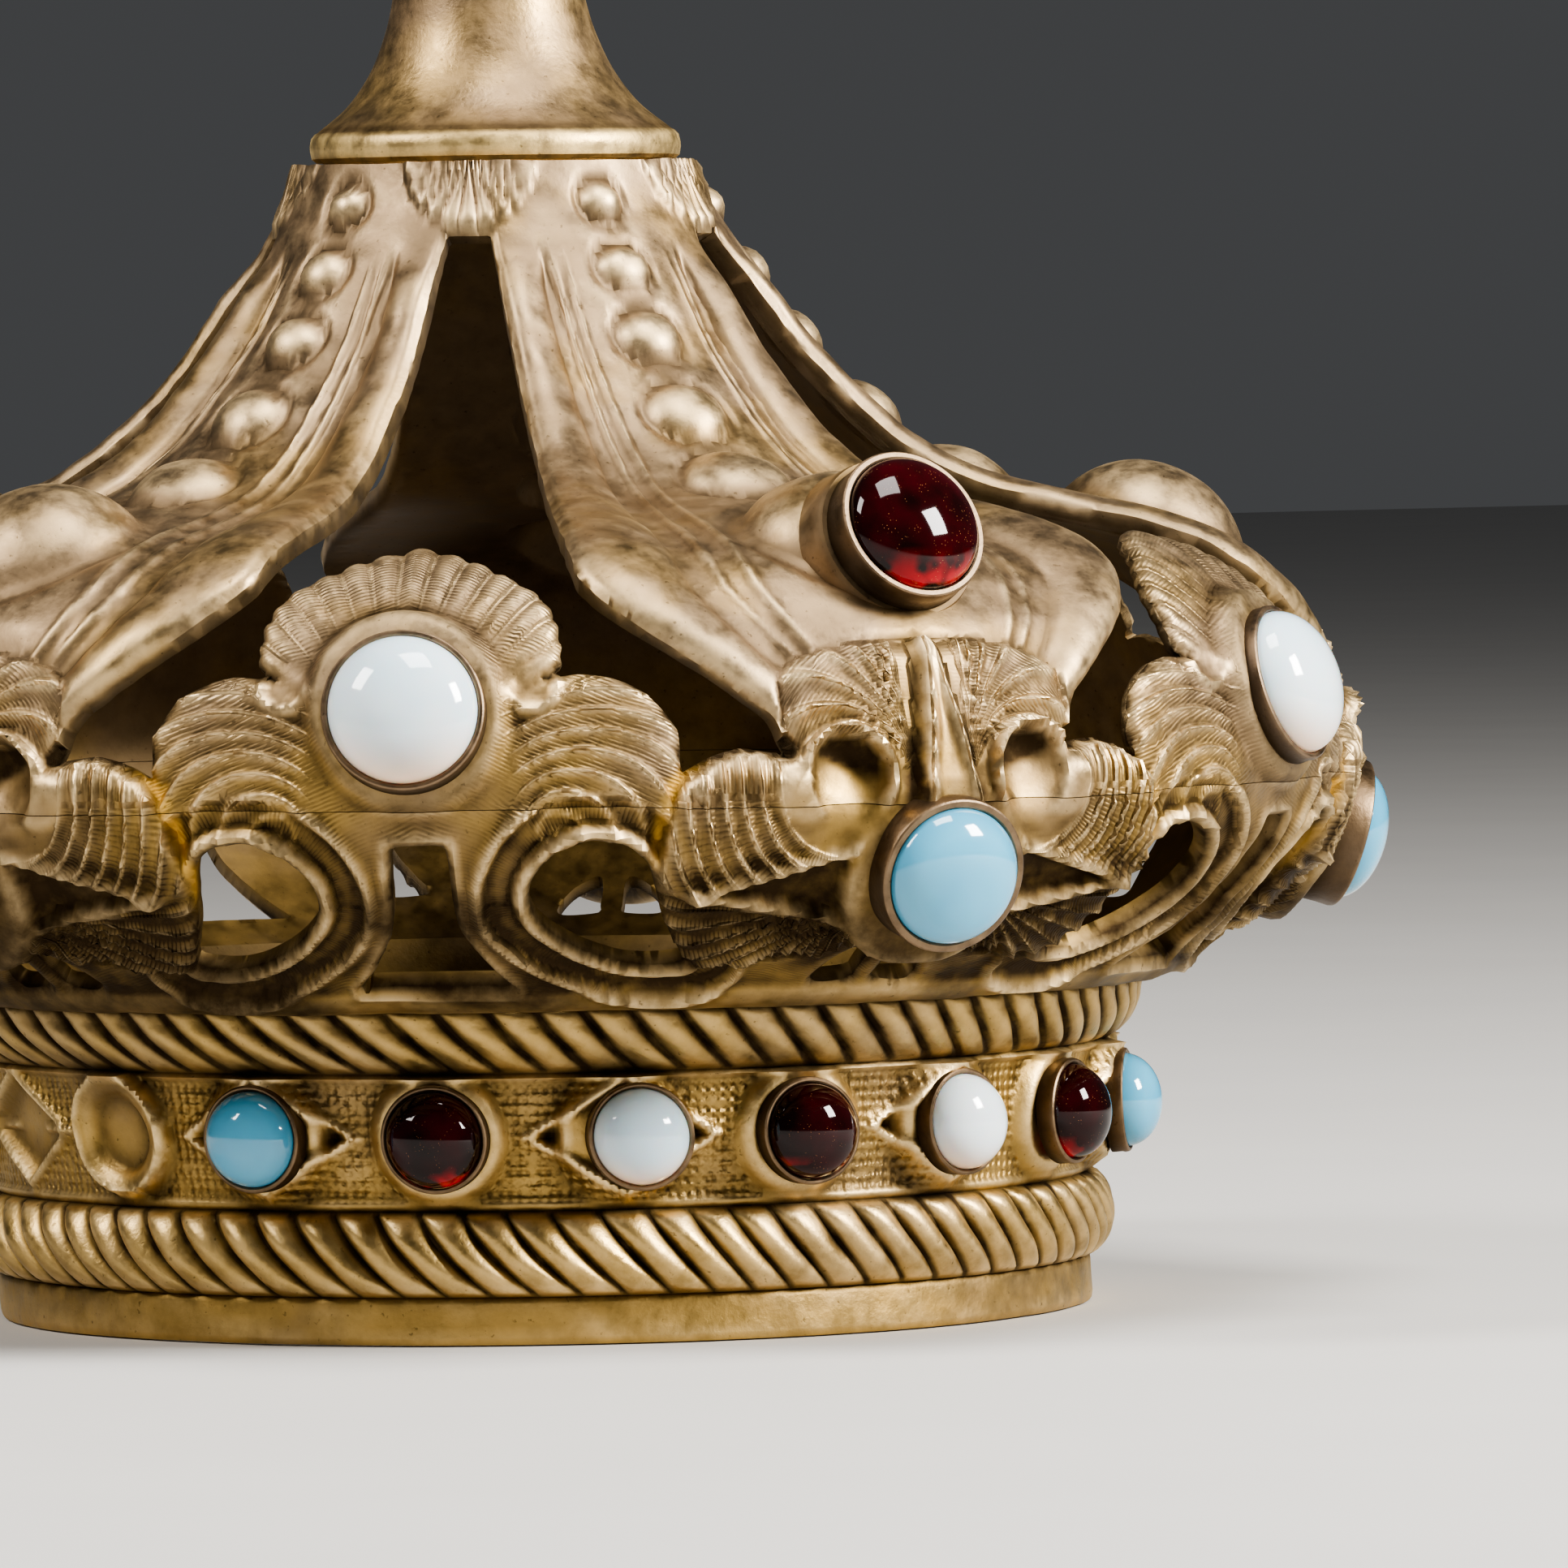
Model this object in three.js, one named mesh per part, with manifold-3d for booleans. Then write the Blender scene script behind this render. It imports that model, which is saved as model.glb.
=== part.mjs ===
// Small openwork crown in die-struck gilt brass, set with glass cabochons.
// Millimetres.  +Z is up, the crown's axis is Z and it stands on Z = 0.
// The front ornament, which carries the extra red stone, faces -Y.
// Angles are measured round the axis from the front, positive towards +X.

import * as THREE from "three";
import { mergeVertices } from "three/addons/utils/BufferGeometryUtils.js";
import Module from "manifold-3d";

const wasm = await Module();
wasm.setup();

// ---------- driving dimensions ----------

const UNITS = 5;                 // leaf-and-arch plus shell, repeated round the crown
const STEP = 360 / UNITS;        // 72 degrees from one leaf to the next
const WALL = 0.9;                // thickness of the struck sheet
const GAP = 0.3;                 // clearance left between two separate pieces
const ROUND = 25;                // flat facets round the outside of the big turned surfaces
const INSIDE = 15;               // and round their inside
const SLACK = 0.2;               // facets closer than this to one plane are joined
const LEAN = -0.0322;            // the old crown leans: sideways step per millimetre of height
const FOOT_X = 0.6;              // and its foot stands this much to the right of the axis

const BAND_TURN = -2.2;          // the band was soldered on slightly turned
const ARCH_STONE_TURN = 1.1;     // the front arch's stone was set a little to the right
const BAND_STONE_SHIFTS = [0, 0, 1.3, 0, 0, 0, 0];   // and one of the band's as well
const FLANGE_R = 36.4;           // plain foot of the band
const FLANGE_TOP = 3.0;
const FRIEZE_Z = 13.4;           // middle of the frieze between the two ropes
const FRIEZE_R = 37.4;
const ROPE_STRANDS = 80;         // slanting strands in each rope moulding
const FRIEZE_ITEMS = 20;         // bosses and lozenges, one after the other

const GALLERY_FOOT_Z = 21.9;     // the openwork gallery stands on the band here
const SEAM_Z = 35.0;             // hairline joint between the two stampings
const COLLAR_TOP_Z = 75.8;       // flat top of the dome, under the finial
const FINIAL_FOOT_Z = COLLAR_TOP_Z + GAP;
const BALL_R = 6.2;
const BALL_Z = 115.5;

// stones: radius of the glass, height of its dome, depth of the metal cup
const LARGE = { glass: 5.0, dome: 3.1, cup: 1.3, sides: 9 };
const TURQUOISE = { glass: 4.5, dome: 2.5, cup: 2.7, sides: 9 };
const GARNET = { glass: 4.5, dome: 2.4, cup: 2.2, sides: 9 };
const SMALL = { glass: 3.1, dome: 2.4, cup: 1.2, sides: 8 };
const CUP_WALL = 0.35;

// outer face of the upper stamping, from the seam to the collar: [radius, z]
const DOME_PROFILE = [
  [54.0, SEAM_Z + GAP / 2], [53.4, 41.0], [50.8, 46.6], [44.5, 51.0], [31.0, 54.1],
  [23.0, 60.0], [16.6, 68.2], [12.8, COLLAR_TOP_Z],
];

// outer face of the lower stamping, from the band to the seam
const GALLERY_PROFILE = [
  [41.3, GALLERY_FOOT_Z], [46.5, 25.6], [51.4, 30.1], [53.9, SEAM_Z - GAP / 2],
];

// inner faces of the two stampings, in fewer and wider facets
const GALLERY_BORE = [[39.6, 20.9], [45.7, 26.0], [53.1, SEAM_Z + 1]];
const DOME_BORE = [
  [53.2, SEAM_Z - 2], [52.4, 41.2], [45.4, 49.2], [30.4, 53.1], [22.0, 59.4], [15.6, 67.7],
  [11.9, COLLAR_TOP_Z - WALL],
];

// half of one arch, as an angle from its middle, at the height given: [z, angle]
const ARCH_EDGE = [
  [71.0, 30.6], [62.0, 26.5], [54.0, 24.4], [49.6, 23.6], [46.2, 20.2], [41.4, 12.7],
];

// right half of the leaf's upper outline, then of its side lobe: [angle, z]
const LEAF_EDGE = [[11.3, 40.0], [10.6, 38.0], [13.4, 38.4], [16.2, 37.8]];

// right half of the shell's outline from the valley beside the leaf to its crest
const SHELL_EDGE = [
  [18.0, 36.9], [17.6, 40.6], [14.0, 43.2], [9.3, 43.3], [10.4, 46.4], [7.0, 49.6],
];
const SHELL_CREST_Z = 51.1;

// round hole inside each C-scroll, as angles from the shell's middle: [angle, z]
const SCROLL_HOLE = [
  [7.8, 29.9], [9.4, 32.3], [13.4, 32.6], [16.2, 29.6], [18.8, 25.4], [14.0, 24.9], [9.8, 26.6],
];

// bell-shaped hole under the shell, right half: [angle, z]
const BELL_HOLE = [[1.85, 32.7], [2.4, 27.8], [6.0, 23.6]];

// small hole beside the stub under the leaf: [angle, z]
const STUB_HOLE = [[0.9, 23.5], [4.8, 23.5], [0.9, 25.6]];

// lower palmette of the leaf, right half, proud of the sheet: [angle, z]
const LEAF_LOBE = [
  [17.6, 35.6], [20.3, 31.6], [19.3, 28.0], [16.6, 25.3], [9.0, 25.3],
];

// beads down the middle of each arch: [radius, z, bead radius, height]
const BEADS = [
  [13.6, 72.9, 1.4, 1.0], [16.6, 68.4, 1.8, 1.1], [19.7, 63.8, 2.2, 1.3],
  [24.3, 58.7, 2.7, 1.5], [30.6, 54.2, 3.5, 1.8],
];
const BOSS = { r: 42.6, z: 48.3, ball: 7.0 };
const BOSS_STONE_RISE = 24;      // tilt of the front red stone above the level

// ---------- small helpers ----------

const rad = (degrees) => (degrees * Math.PI) / 180;

// unit vector pointing outwards at an angle round the crown
const outward = (angle) => new THREE.Vector3(Math.sin(rad(angle)), -Math.cos(rad(angle)), 0);

// frame whose local Z points outwards at the angle and rises by the tilt
function outwardFrame(angle, radius, z, tilt = 0) {
  const across = new THREE.Vector3(Math.cos(rad(angle)), Math.sin(rad(angle)), 0);
  const out = outward(angle).multiplyScalar(Math.cos(rad(tilt)));
  out.z = Math.sin(rad(tilt));
  const up = new THREE.Vector3().crossVectors(out, across);
  const matrix = new THREE.Matrix4().makeBasis(across, up, out);
  return matrix.setPosition(outward(angle).multiplyScalar(radius).setZ(z));
}

// three.js geometry to a closed solid
function toSolid(geometry) {
  const plain = geometry.clone();
  plain.deleteAttribute("normal");
  plain.deleteAttribute("uv");
  const merged = mergeVertices(plain, 1e-4);
  const corners = [];
  const index = merged.index.array;
  for (let i = 0; i < index.length; i += 3) {
    const [a, b, c] = [index[i], index[i + 1], index[i + 2]];
    if (a !== b && b !== c && c !== a) corners.push(a, b, c);
  }
  return new wasm.Manifold(new wasm.Mesh({
    numProp: 3,
    vertProperties: new Float32Array(merged.attributes.position.array),
    triVerts: new Uint32Array(corners),
  }));
}

function toGeometry(solid) {
  const mesh = solid.getMesh();
  const geometry = new THREE.BufferGeometry();
  geometry.setAttribute("position", new THREE.BufferAttribute(mesh.vertProperties, 3));
  geometry.setIndex(new THREE.BufferAttribute(mesh.triVerts, 1));
  geometry.computeVertexNormals();
  return geometry;
}

// closed section spun round the Z axis; the section runs anticlockwise
function spin(section, sides) {
  const points = section.map(([r, z]) => new THREE.Vector2(r, z));
  points.push(points[0].clone());
  return new THREE.LatheGeometry(points, sides).rotateX(Math.PI / 2);
}

// radius of a profile at a height
function radiusAt(profile, z) {
  for (let i = 1; i < profile.length; i += 1) {
    const [r0, z0] = profile[i - 1];
    const [r1, z1] = profile[i];
    if (z <= z1) return r0 + ((r1 - r0) * (z - z0)) / (z1 - z0);
  }
  return profile[profile.length - 1][0];
}

// outline given as [angle, z] on a profile, cut straight through along the outward line
function outlinePrism(outline, profile, middle, near, far) {
  const points = outline.map(([angle, z]) => {
    const radius = radiusAt(profile, z);
    return new THREE.Vector2(radius * Math.sin(rad(angle)), z);
  });
  const shape = new THREE.Shape(points);
  const geometry = new THREE.ExtrudeGeometry(shape, { depth: far - near, bevelEnabled: false });
  geometry.applyMatrix4(outwardFrame(middle, near, 0));
  return toSolid(geometry);
}

// mirror an outline's right half to its left
const mirrored = (half) => [...half, ...half.map(([a, z]) => [-a, z]).reverse()];
const flipped = (outline) => outline.map(([a, z]) => [-a, z]).reverse();

// short round pad whose axis points outwards and up by the tilt
function pad(angle, radius, z, tilt, foot, top, height, sides) {
  const geometry = new THREE.CylinderGeometry(top, foot, height, sides);
  geometry.rotateX(Math.PI / 2);
  geometry.translate(0, 0, -height / 2);
  geometry.applyMatrix4(outwardFrame(angle, radius, z, tilt));
  return toSolid(geometry);
}

// ---------- the band ----------

function bandRadius(z) {
  return FRIEZE_R + (z - FRIEZE_Z) * 0.155;
}

// outer face of the band from the foot up: [radius, z, lift of the strands]
const BAND_ROWS = [
  [FLANGE_R, 0, 0], [FLANGE_R, FLANGE_TOP, 0], [37.4, 5.9, 0.42], [bandRadius(8.7), 8.7, 0],
  [bandRadius(17.5), 17.5, 0], [39.9, 19.9, 0.42], [39.9, 21.6, 0],
];
const ROPE_LEAN = 1.9;           // degrees each strand moves round per millimetre of height

// the band's solid body with the slanting strands of both ropes raised on it
function bandBody() {
  const rows = [...BAND_ROWS, [1, 21.6, 0], [1, 0, 0]];
  const geometry = spin(rows.map(([r, z]) => [r, z]), ROPE_STRANDS * 2);
  const spots = geometry.attributes.position;
  const perColumn = rows.length + 1;
  for (let i = 0; i < spots.count; i += 1) {
    const column = Math.floor(i / perColumn);
    const [r, z, lift] = rows[(i % perColumn) % rows.length];
    const odd = column % 2;
    const step = lift === 0 ? column - odd : column;
    const angle = (step * Math.PI) / ROPE_STRANDS - rad(ROPE_LEAN * z);
    const radius = r + (odd ? -lift : lift);
    spots.setXYZ(i, radius * Math.sin(angle), -radius * Math.cos(angle), z);
  }
  return toSolid(geometry);
}

function makeBand() {
  let band = bandBody();
  for (let i = 0; i < FRIEZE_ITEMS; i += 1) {
    const angle = (i * 360) / FRIEZE_ITEMS;
    if (i % 2 === 0) {
      band = band.add(pad(angle, FRIEZE_R + 0.75, FRIEZE_Z, 0, 4.2, 3.9, 1.5, 8));
      if (i > 2 && i < FRIEZE_ITEMS - 2) {
        band = band.subtract(pad(angle, FRIEZE_R + 1.8, FRIEZE_Z, 0, 1.6, 4.2, 1.8, 8));
      }
    } else {
      const lozenge = new THREE.CylinderGeometry(6.2, 6.9, 1.6, 4);
      lozenge.rotateX(Math.PI / 2);
      lozenge.scale(1, 0.6, 1);
      lozenge.applyMatrix4(outwardFrame(angle, FRIEZE_R - 0.1, FRIEZE_Z));
      band = band.add(toSolid(lozenge));
    }
  }
  const bore = [
    [0.5, -1], [FLANGE_R - WALL, -1], [bandRadius(15) - WALL, 15], [38.9, 22.6], [0.5, 22.6],
  ];
  return band.subtract(toSolid(spin(bore, ROUND))).simplify(SLACK);
}

// ---------- the lower stamping of the gallery ----------

function makeGallery() {
  const top = SEAM_Z - GAP / 2;
  let gallery = toSolid(spin([...GALLERY_PROFILE, [1, top], [1, GALLERY_FOOT_Z]], ROUND));
  const proud = GALLERY_PROFILE.map(([r, z]) => [r + 0.9, z]);
  const thick = toSolid(spin([...proud, [1, top], [1, GALLERY_FOOT_Z]], ROUND));
  const cutters = [];
  for (let i = 0; i < UNITS; i += 1) {
    const leaf = i * STEP;
    const shell = leaf + STEP / 2;
    const lobe = outlinePrism(mirrored(LEAF_LOBE), GALLERY_PROFILE, leaf, 20, 70);
    gallery = gallery.add(lobe.intersect(thick));
    gallery = gallery.add(pad(leaf, 53.5, 31.0, -17, 6.6, 5.6, 5.0, 8));
    cutters.push(outlinePrism(SCROLL_HOLE, GALLERY_PROFILE, shell, 20, 70));
    cutters.push(outlinePrism(flipped(SCROLL_HOLE), GALLERY_PROFILE, shell, 20, 70));
    cutters.push(outlinePrism(mirrored(BELL_HOLE), GALLERY_PROFILE, shell, 20, 70));
    cutters.push(outlinePrism(STUB_HOLE, GALLERY_PROFILE, leaf, 20, 49));
    cutters.push(outlinePrism(flipped(STUB_HOLE), GALLERY_PROFILE, leaf, 20, 49));
  }
  const bore = [[0.5, 20.9], ...GALLERY_BORE, [0.5, SEAM_Z + 1]];
  gallery = gallery.subtract(toSolid(spin(bore, INSIDE)));
  const above = toSolid(spin([[0.5, top], [70, top], [70, 50], [0.5, 50]], 24));
  gallery = gallery.subtract(above);
  return cutters.reduce((solid, cutter) => solid.subtract(cutter), gallery).simplify(SLACK);
}

// ---------- the upper stamping: shells, leaves, arches and collar ----------

// everything open between two arches, above the shell and the leaf lobes
function archOpening(shell) {
  const right = [
    ...LEAF_EDGE.map(([a, z]) => [STEP / 2 - a, z]).reverse(),
    ...ARCH_EDGE.map(([z, a]) => [STEP / 2 - a, z]).reverse(),
  ];
  const rim = [...SHELL_EDGE].reverse();
  const half = [...rim, ...right];
  const outline = [[0, SHELL_CREST_Z], ...half, ...half.map(([a, z]) => [-a, z]).reverse()];
  return outlinePrism(outline, DOME_PROFILE, shell, 8, 70);
}

function makeDome() {
  const bottom = SEAM_Z + GAP / 2;
  let dome = toSolid(spin([...DOME_PROFILE, [1, COLLAR_TOP_Z], [1, bottom]], ROUND));
  for (let i = 0; i < UNITS; i += 1) {
    const leaf = i * STEP;
    const shell = leaf + STEP / 2;
    for (const [r, z, size, height] of BEADS) {
      const bead = spin([[0, -1], [size, -1], [size * 0.7, height * 0.7], [0, height]], 5);
      bead.applyMatrix4(outwardFrame(leaf, r, z, r < 25 ? 33 : 60));
      dome = dome.add(toSolid(bead));
    }
    const swell = [0, 30, 60].map((a) => [Math.cos(rad(a)), Math.sin(rad(a))]);
    const round = swell.map(([across, up]) => [BOSS.ball * across, BOSS.ball * up]);
    const boss = spin([[0, 0], ...round, [0, BOSS.ball]], 8);
    boss.applyMatrix4(outwardFrame(leaf, BOSS.r, BOSS.z, 60));
    dome = dome.add(toSolid(boss));
    if (i === 0) {
      const reach = BOSS.ball + 0.3;
      dome = dome.add(pad(
        ARCH_STONE_TURN, BOSS.r + reach * Math.cos(rad(BOSS_STONE_RISE)),
        BOSS.z + reach * Math.sin(rad(BOSS_STONE_RISE)), BOSS_STONE_RISE, 5.4, 5.2, 3.4, 8,
      ));
    }
    dome = dome.add(pad(shell, 54.0, 40.9, 15, 6.2, 5.7, 3.2, 8));
    const spike = new THREE.ConeGeometry(2.0, 9.4, 4);
    spike.applyMatrix4(outwardFrame(leaf, 53.6, 40.0, 8));
    dome = dome.add(toSolid(spike));
  }
  const bore = [[0.5, SEAM_Z - 2], ...DOME_BORE, [0.5, COLLAR_TOP_Z - WALL]];
  dome = dome.subtract(toSolid(spin(bore, INSIDE)));
  dome = dome.subtract(toSolid(spin([[0.5, 20], [70, 20], [70, bottom], [0.5, bottom]], 24)));
  const drill = new THREE.CylinderGeometry(3.2, 3.2, 6, 12).rotateX(Math.PI / 2);
  dome = dome.subtract(toSolid(drill.translate(0, 0, COLLAR_TOP_Z)));
  for (let i = 0; i < UNITS; i += 1) {
    dome = dome.subtract(archOpening(i * STEP + STEP / 2));
  }
  return dome.simplify(SLACK);
}

// ---------- the finial ----------

function makeFinial() {
  const outside = [
    [12.3, FINIAL_FOOT_Z], [12.3, 78.0], [9.6, 79.8], [7.4, 83.4], [6.0, 88.5], [4.6, 97.0],
    [3.9, 106.8], [5.8, 107.6], [5.8, 109.1], [3.6, 110.0],
  ];
  for (let i = 0; i < 4; i += 1) {
    const angle = rad(-36 + i * 33);
    outside.push([BALL_R * Math.cos(angle), BALL_Z + BALL_R * Math.sin(angle)]);
  }
  outside.push([0, BALL_Z + BALL_R]);
  const points = [...outside, [0, 100], [3.2, 96], [6.1, 84.1], [10.6, FINIAL_FOOT_Z]];
  return toSolid(spin(points, 16));
}

// ---------- stones and the cups that hold them ----------

// a plain metal ring standing on the sheet, open towards the stone
function cupGeometry(kind) {
  const outer = kind.glass + GAP + CUP_WALL;
  const inner = kind.glass + GAP;
  return spin([[outer, 0], [outer, kind.cup], [inner, kind.cup], [inner, 0]], kind.sides);
}

// a round stone with a flat back and a low domed face
function stoneGeometry(kind) {
  const rise = kind.cup - 0.2;
  const points = [
    [0, GAP], [kind.glass, rise], [kind.glass * 0.72, rise + kind.dome * 0.66], [0, rise + kind.dome],
  ];
  return spin(points, kind.sides);
}

// where each stone stands: name, glass, kind, angle, radius and height of the cup's foot, tilt
function stoneList() {
  const list = [];
  for (let i = 0; i < UNITS; i += 1) {
    list.push(["leaf" + i, "turquoise", TURQUOISE, i * STEP, 53.5 + GAP, 31.0 - 0.1, -17]);
    list.push(["shell" + i, "opal", LARGE, i * STEP + STEP / 2, 54.0 + GAP, 40.9 + 0.1, 15]);
  }
  const reach = BOSS.ball + 0.3 + GAP;
  list.push([
    "arch", "garnet", GARNET, ARCH_STONE_TURN,
    BOSS.r + reach * Math.cos(rad(BOSS_STONE_RISE)),
    BOSS.z + reach * Math.sin(rad(BOSS_STONE_RISE)), BOSS_STONE_RISE,
  ]);
  const glasses = ["turquoise", "garnet", "opal", "garnet", "opal", "garnet", "turquoise"];
  glasses.forEach((glass, i) => {
    const angle = (i - 3) * (360 / FRIEZE_ITEMS) + BAND_STONE_SHIFTS[i];
    list.push(["band" + i, glass, SMALL, angle + BAND_TURN, FRIEZE_R + 0.75 + GAP, FRIEZE_Z, 0]);
  });
  return list;
}

// ---------- assembly ----------

const paint = (colour, roughness, metalness) => new THREE.MeshStandardMaterial({
  color: colour, roughness, metalness, flatShading: true,
});

const GLASS_COLOURS = { turquoise: 0x5fb3cf, opal: 0xdfeef2, garnet: 0x3a0508 };

const crown = new THREE.Group();
crown.name = "torah_crown";

// every piece is shifted sideways a little more the higher it is
const leaning = new THREE.Matrix4().set(1, 0, LEAN, FOOT_X, 0, 1, 0, 0, 0, 0, 1, 0, 0, 0, 0, 1);

function place(name, geometry, frame, material) {
  const mesh = new THREE.Mesh(geometry.applyMatrix4(frame).applyMatrix4(leaning), material);
  mesh.name = name;
  crown.add(mesh);
  return mesh;
}

const upright = new THREE.Matrix4();
const turned = new THREE.Matrix4().makeRotationZ(rad(BAND_TURN));
place("base_band", toGeometry(makeBand()), turned, paint(0x9c7a3c, 0.42, 1.0));
place("lower_gallery", toGeometry(makeGallery()), upright, paint(0x8f7443, 0.45, 1.0));
place("upper_dome", toGeometry(makeDome()), upright, paint(0x8d7656, 0.48, 1.0));
place("finial", toGeometry(makeFinial()), upright, paint(0x9a7f58, 0.4, 1.0));

for (const [spot, glass, kind, angle, radius, z, tilt] of stoneList()) {
  const frame = outwardFrame(angle, radius, z, tilt);
  const brass = paint(0x5d4a36, 0.5, 1.0);
  place("cup_" + spot, toGeometry(toSolid(cupGeometry(kind))), frame, brass);
  const face = paint(GLASS_COLOURS[glass], 0.08, 0.0);
  place(glass + "_" + spot, toGeometry(toSolid(stoneGeometry(kind))), frame, face);
}

export default crown;
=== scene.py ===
# %% [markdown]
# # A small openwork crown of gilt brass, set with glass stones
# The crown is struck from thin sheet: a roped band, an openwork gallery of scrolls, shells
# and leaves, five beaded arches, and a spun finial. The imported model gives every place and
# size, so it is loaded first, and each detailed piece is then built over its plain one.

# %% Load the frame
import math
import bpy
import numpy as np
from mathutils import Matrix, Vector


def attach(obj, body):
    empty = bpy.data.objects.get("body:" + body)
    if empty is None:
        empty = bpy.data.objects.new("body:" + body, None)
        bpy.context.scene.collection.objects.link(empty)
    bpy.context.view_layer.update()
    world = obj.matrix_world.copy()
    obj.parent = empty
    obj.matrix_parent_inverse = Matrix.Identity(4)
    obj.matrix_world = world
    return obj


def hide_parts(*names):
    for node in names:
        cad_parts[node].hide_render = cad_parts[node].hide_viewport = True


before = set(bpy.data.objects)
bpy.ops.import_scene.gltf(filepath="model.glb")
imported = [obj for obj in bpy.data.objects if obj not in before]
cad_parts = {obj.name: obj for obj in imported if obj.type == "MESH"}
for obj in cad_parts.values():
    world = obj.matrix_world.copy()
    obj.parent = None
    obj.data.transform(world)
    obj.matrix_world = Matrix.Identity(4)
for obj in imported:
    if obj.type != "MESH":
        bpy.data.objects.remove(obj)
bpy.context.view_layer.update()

# %% [markdown]
# The maker thinks in millimetres and Blender in metres, so one constant turns one into the
# other. A profile is drawn with a few points and a smooth curve through them, the way a
# turner's template is, and `smooth_line` is that curve (a Catmull-Rom spline).

# %% Millimetres and smooth lines
MM = 0.001
LEAN = -0.0322          # the old crown leans: sideways step per millimetre of height
FOOT_X = 0.6            # and its foot stands this much to the right of the axis


def smooth_line(points, steps=8):
    """A smooth open line through the points, which keeps its two ends."""
    p = np.array(points, float)
    p = np.vstack([2 * p[0] - p[1], p, 2 * p[-1] - p[-2]])
    t = np.linspace(0, 1, steps, endpoint=False)[:, None]
    parts = []
    for a, b, c, d in zip(p[:-3], p[1:-2], p[2:-1], p[3:]):
        parts.append(0.5 * (2 * b + (c - a) * t + (2 * a - 5 * b + 4 * c - d) * t ** 2
                            + (3 * b - a - 3 * c + d) * t ** 3))
    return np.vstack(parts + [p[-2:-1]])


def step_up(low, high, value):
    """0 below low, 1 above high and a smooth rise between them."""
    t = np.clip((value - low) / (high - low), 0, 1)
    return t * t * (3 - 2 * t)


def bump_at(distance, width):
    """A rounded ridge, 1 high where the distance is 0."""
    return np.exp(-(distance / width) ** 2)


def dome_over(distance, radius):
    """A round bead's height, 1 in the middle and 0 at its radius."""
    return np.clip(1 - (distance / radius) ** 2, 0, None) ** 0.6


print("the crown leans by", round(math.degrees(math.atan(-LEAN)), 1), "degrees")

# %% [markdown]
# Struck metal is never perfectly even. `uneven` adds up a few waves of fixed direction and
# phase, so the same small dents and wanderings come out at every run.

# %% Small unevenness
rng = np.random.default_rng(7)
WAVES = [(rng.normal(size=3), rng.uniform(0, 6.28)) for _ in range(14)]


def uneven(x, y, z, size):
    """A smooth random value between about -1 and 1, with bumps of that size."""
    total = 0
    for direction, phase in WAVES:
        a, b, c = direction * (2.6 / size)
        total = total + np.sin(a * x + b * y + c * z + phase)
    return total / 5.0


print("unevenness near the front, with bumps of 5 mm:", round(float(uneven(0, -50, 35, 5)), 2))

# %% [markdown]
# The gallery and the arches lie on one surface of revolution. Its outline is read along
# its length: for each distance along the sheet there is a radius, a height and an outward
# direction. Ornament is then laid out on the sheet as on a flat strip of metal.

# %% The crown's outline
SEAM_Z = 35.0
OUTLINE = smooth_line([
    (41.3, 21.9), (44.6, 24.1), (48.1, 26.8), (51.4, 30.0), (53.2, 32.5), (54.0, 35.0),
    (54.0, 37.5), (53.3, 40.7), (52.3, 43.9), (50.6, 46.8), (47.5, 49.5), (43.0, 51.3),
    (37.5, 52.5), (31.3, 54.0), (27.0, 56.4), (23.4, 59.6), (19.2, 64.4), (16.2, 68.9),
    (14.1, 72.4), (13.4, 74.0), (12.8, 75.75)], 12)
LENGTHS = np.concatenate([[0], np.cumsum(np.hypot(*np.diff(OUTLINE, axis=0).T))])
SLOPE = np.gradient(OUTLINE, LENGTHS, axis=0)


def along_at(z):
    """Distance along the sheet, from the gallery's foot, at a height."""
    return np.interp(z, OUTLINE[:, 1], LENGTHS)


def on_sheet(along):
    """Radius, height, and the outward direction's radial and upward parts."""
    r, z = (np.interp(along, LENGTHS, OUTLINE[:, k]) for k in (0, 1))
    dr, dz = (np.interp(along, LENGTHS, SLOPE[:, k]) for k in (0, 1))
    size = np.hypot(dr, dz)
    return r, z, dz / size, -dr / size


SEAM = along_at(SEAM_Z)


def spot(angle, z):
    """Flat place, in millimetres, of an angle from the ornament's middle and a height."""
    r = np.interp(z, OUTLINE[:, 1], OUTLINE[:, 0])
    return np.array([r * np.radians(angle), along_at(z) - SEAM])


print("sheet's length from foot to collar:", round(LENGTHS[-1], 1), "mm, seam at", round(SEAM, 1))

# %% [markdown]
# The openings were sawn or punched along curved outlines. Each outline is a closed line on
# the flat strip, and `depth_inside` tells how far any place lies inside it (minus outside).
# Everything else, such as rims and flutes that follow an edge, is worked out from that.

# %% Outlines of the openings


def outline_of(*runs):
    """A closed half outline from smooth runs of (angle, z), mirrored about the middle."""
    half = np.vstack([smooth_line([spot(a, z) for a, z in run], 6) for run in runs])
    return np.vstack([half, (half * (-1, 1))[::-1]])


def one_sided(points):
    """A closed smooth outline that lies all on one side of the middle."""
    loop = [spot(a, z) for a, z in points]
    return smooth_line(loop + loop[:3], 6)[6:-7]


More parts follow.
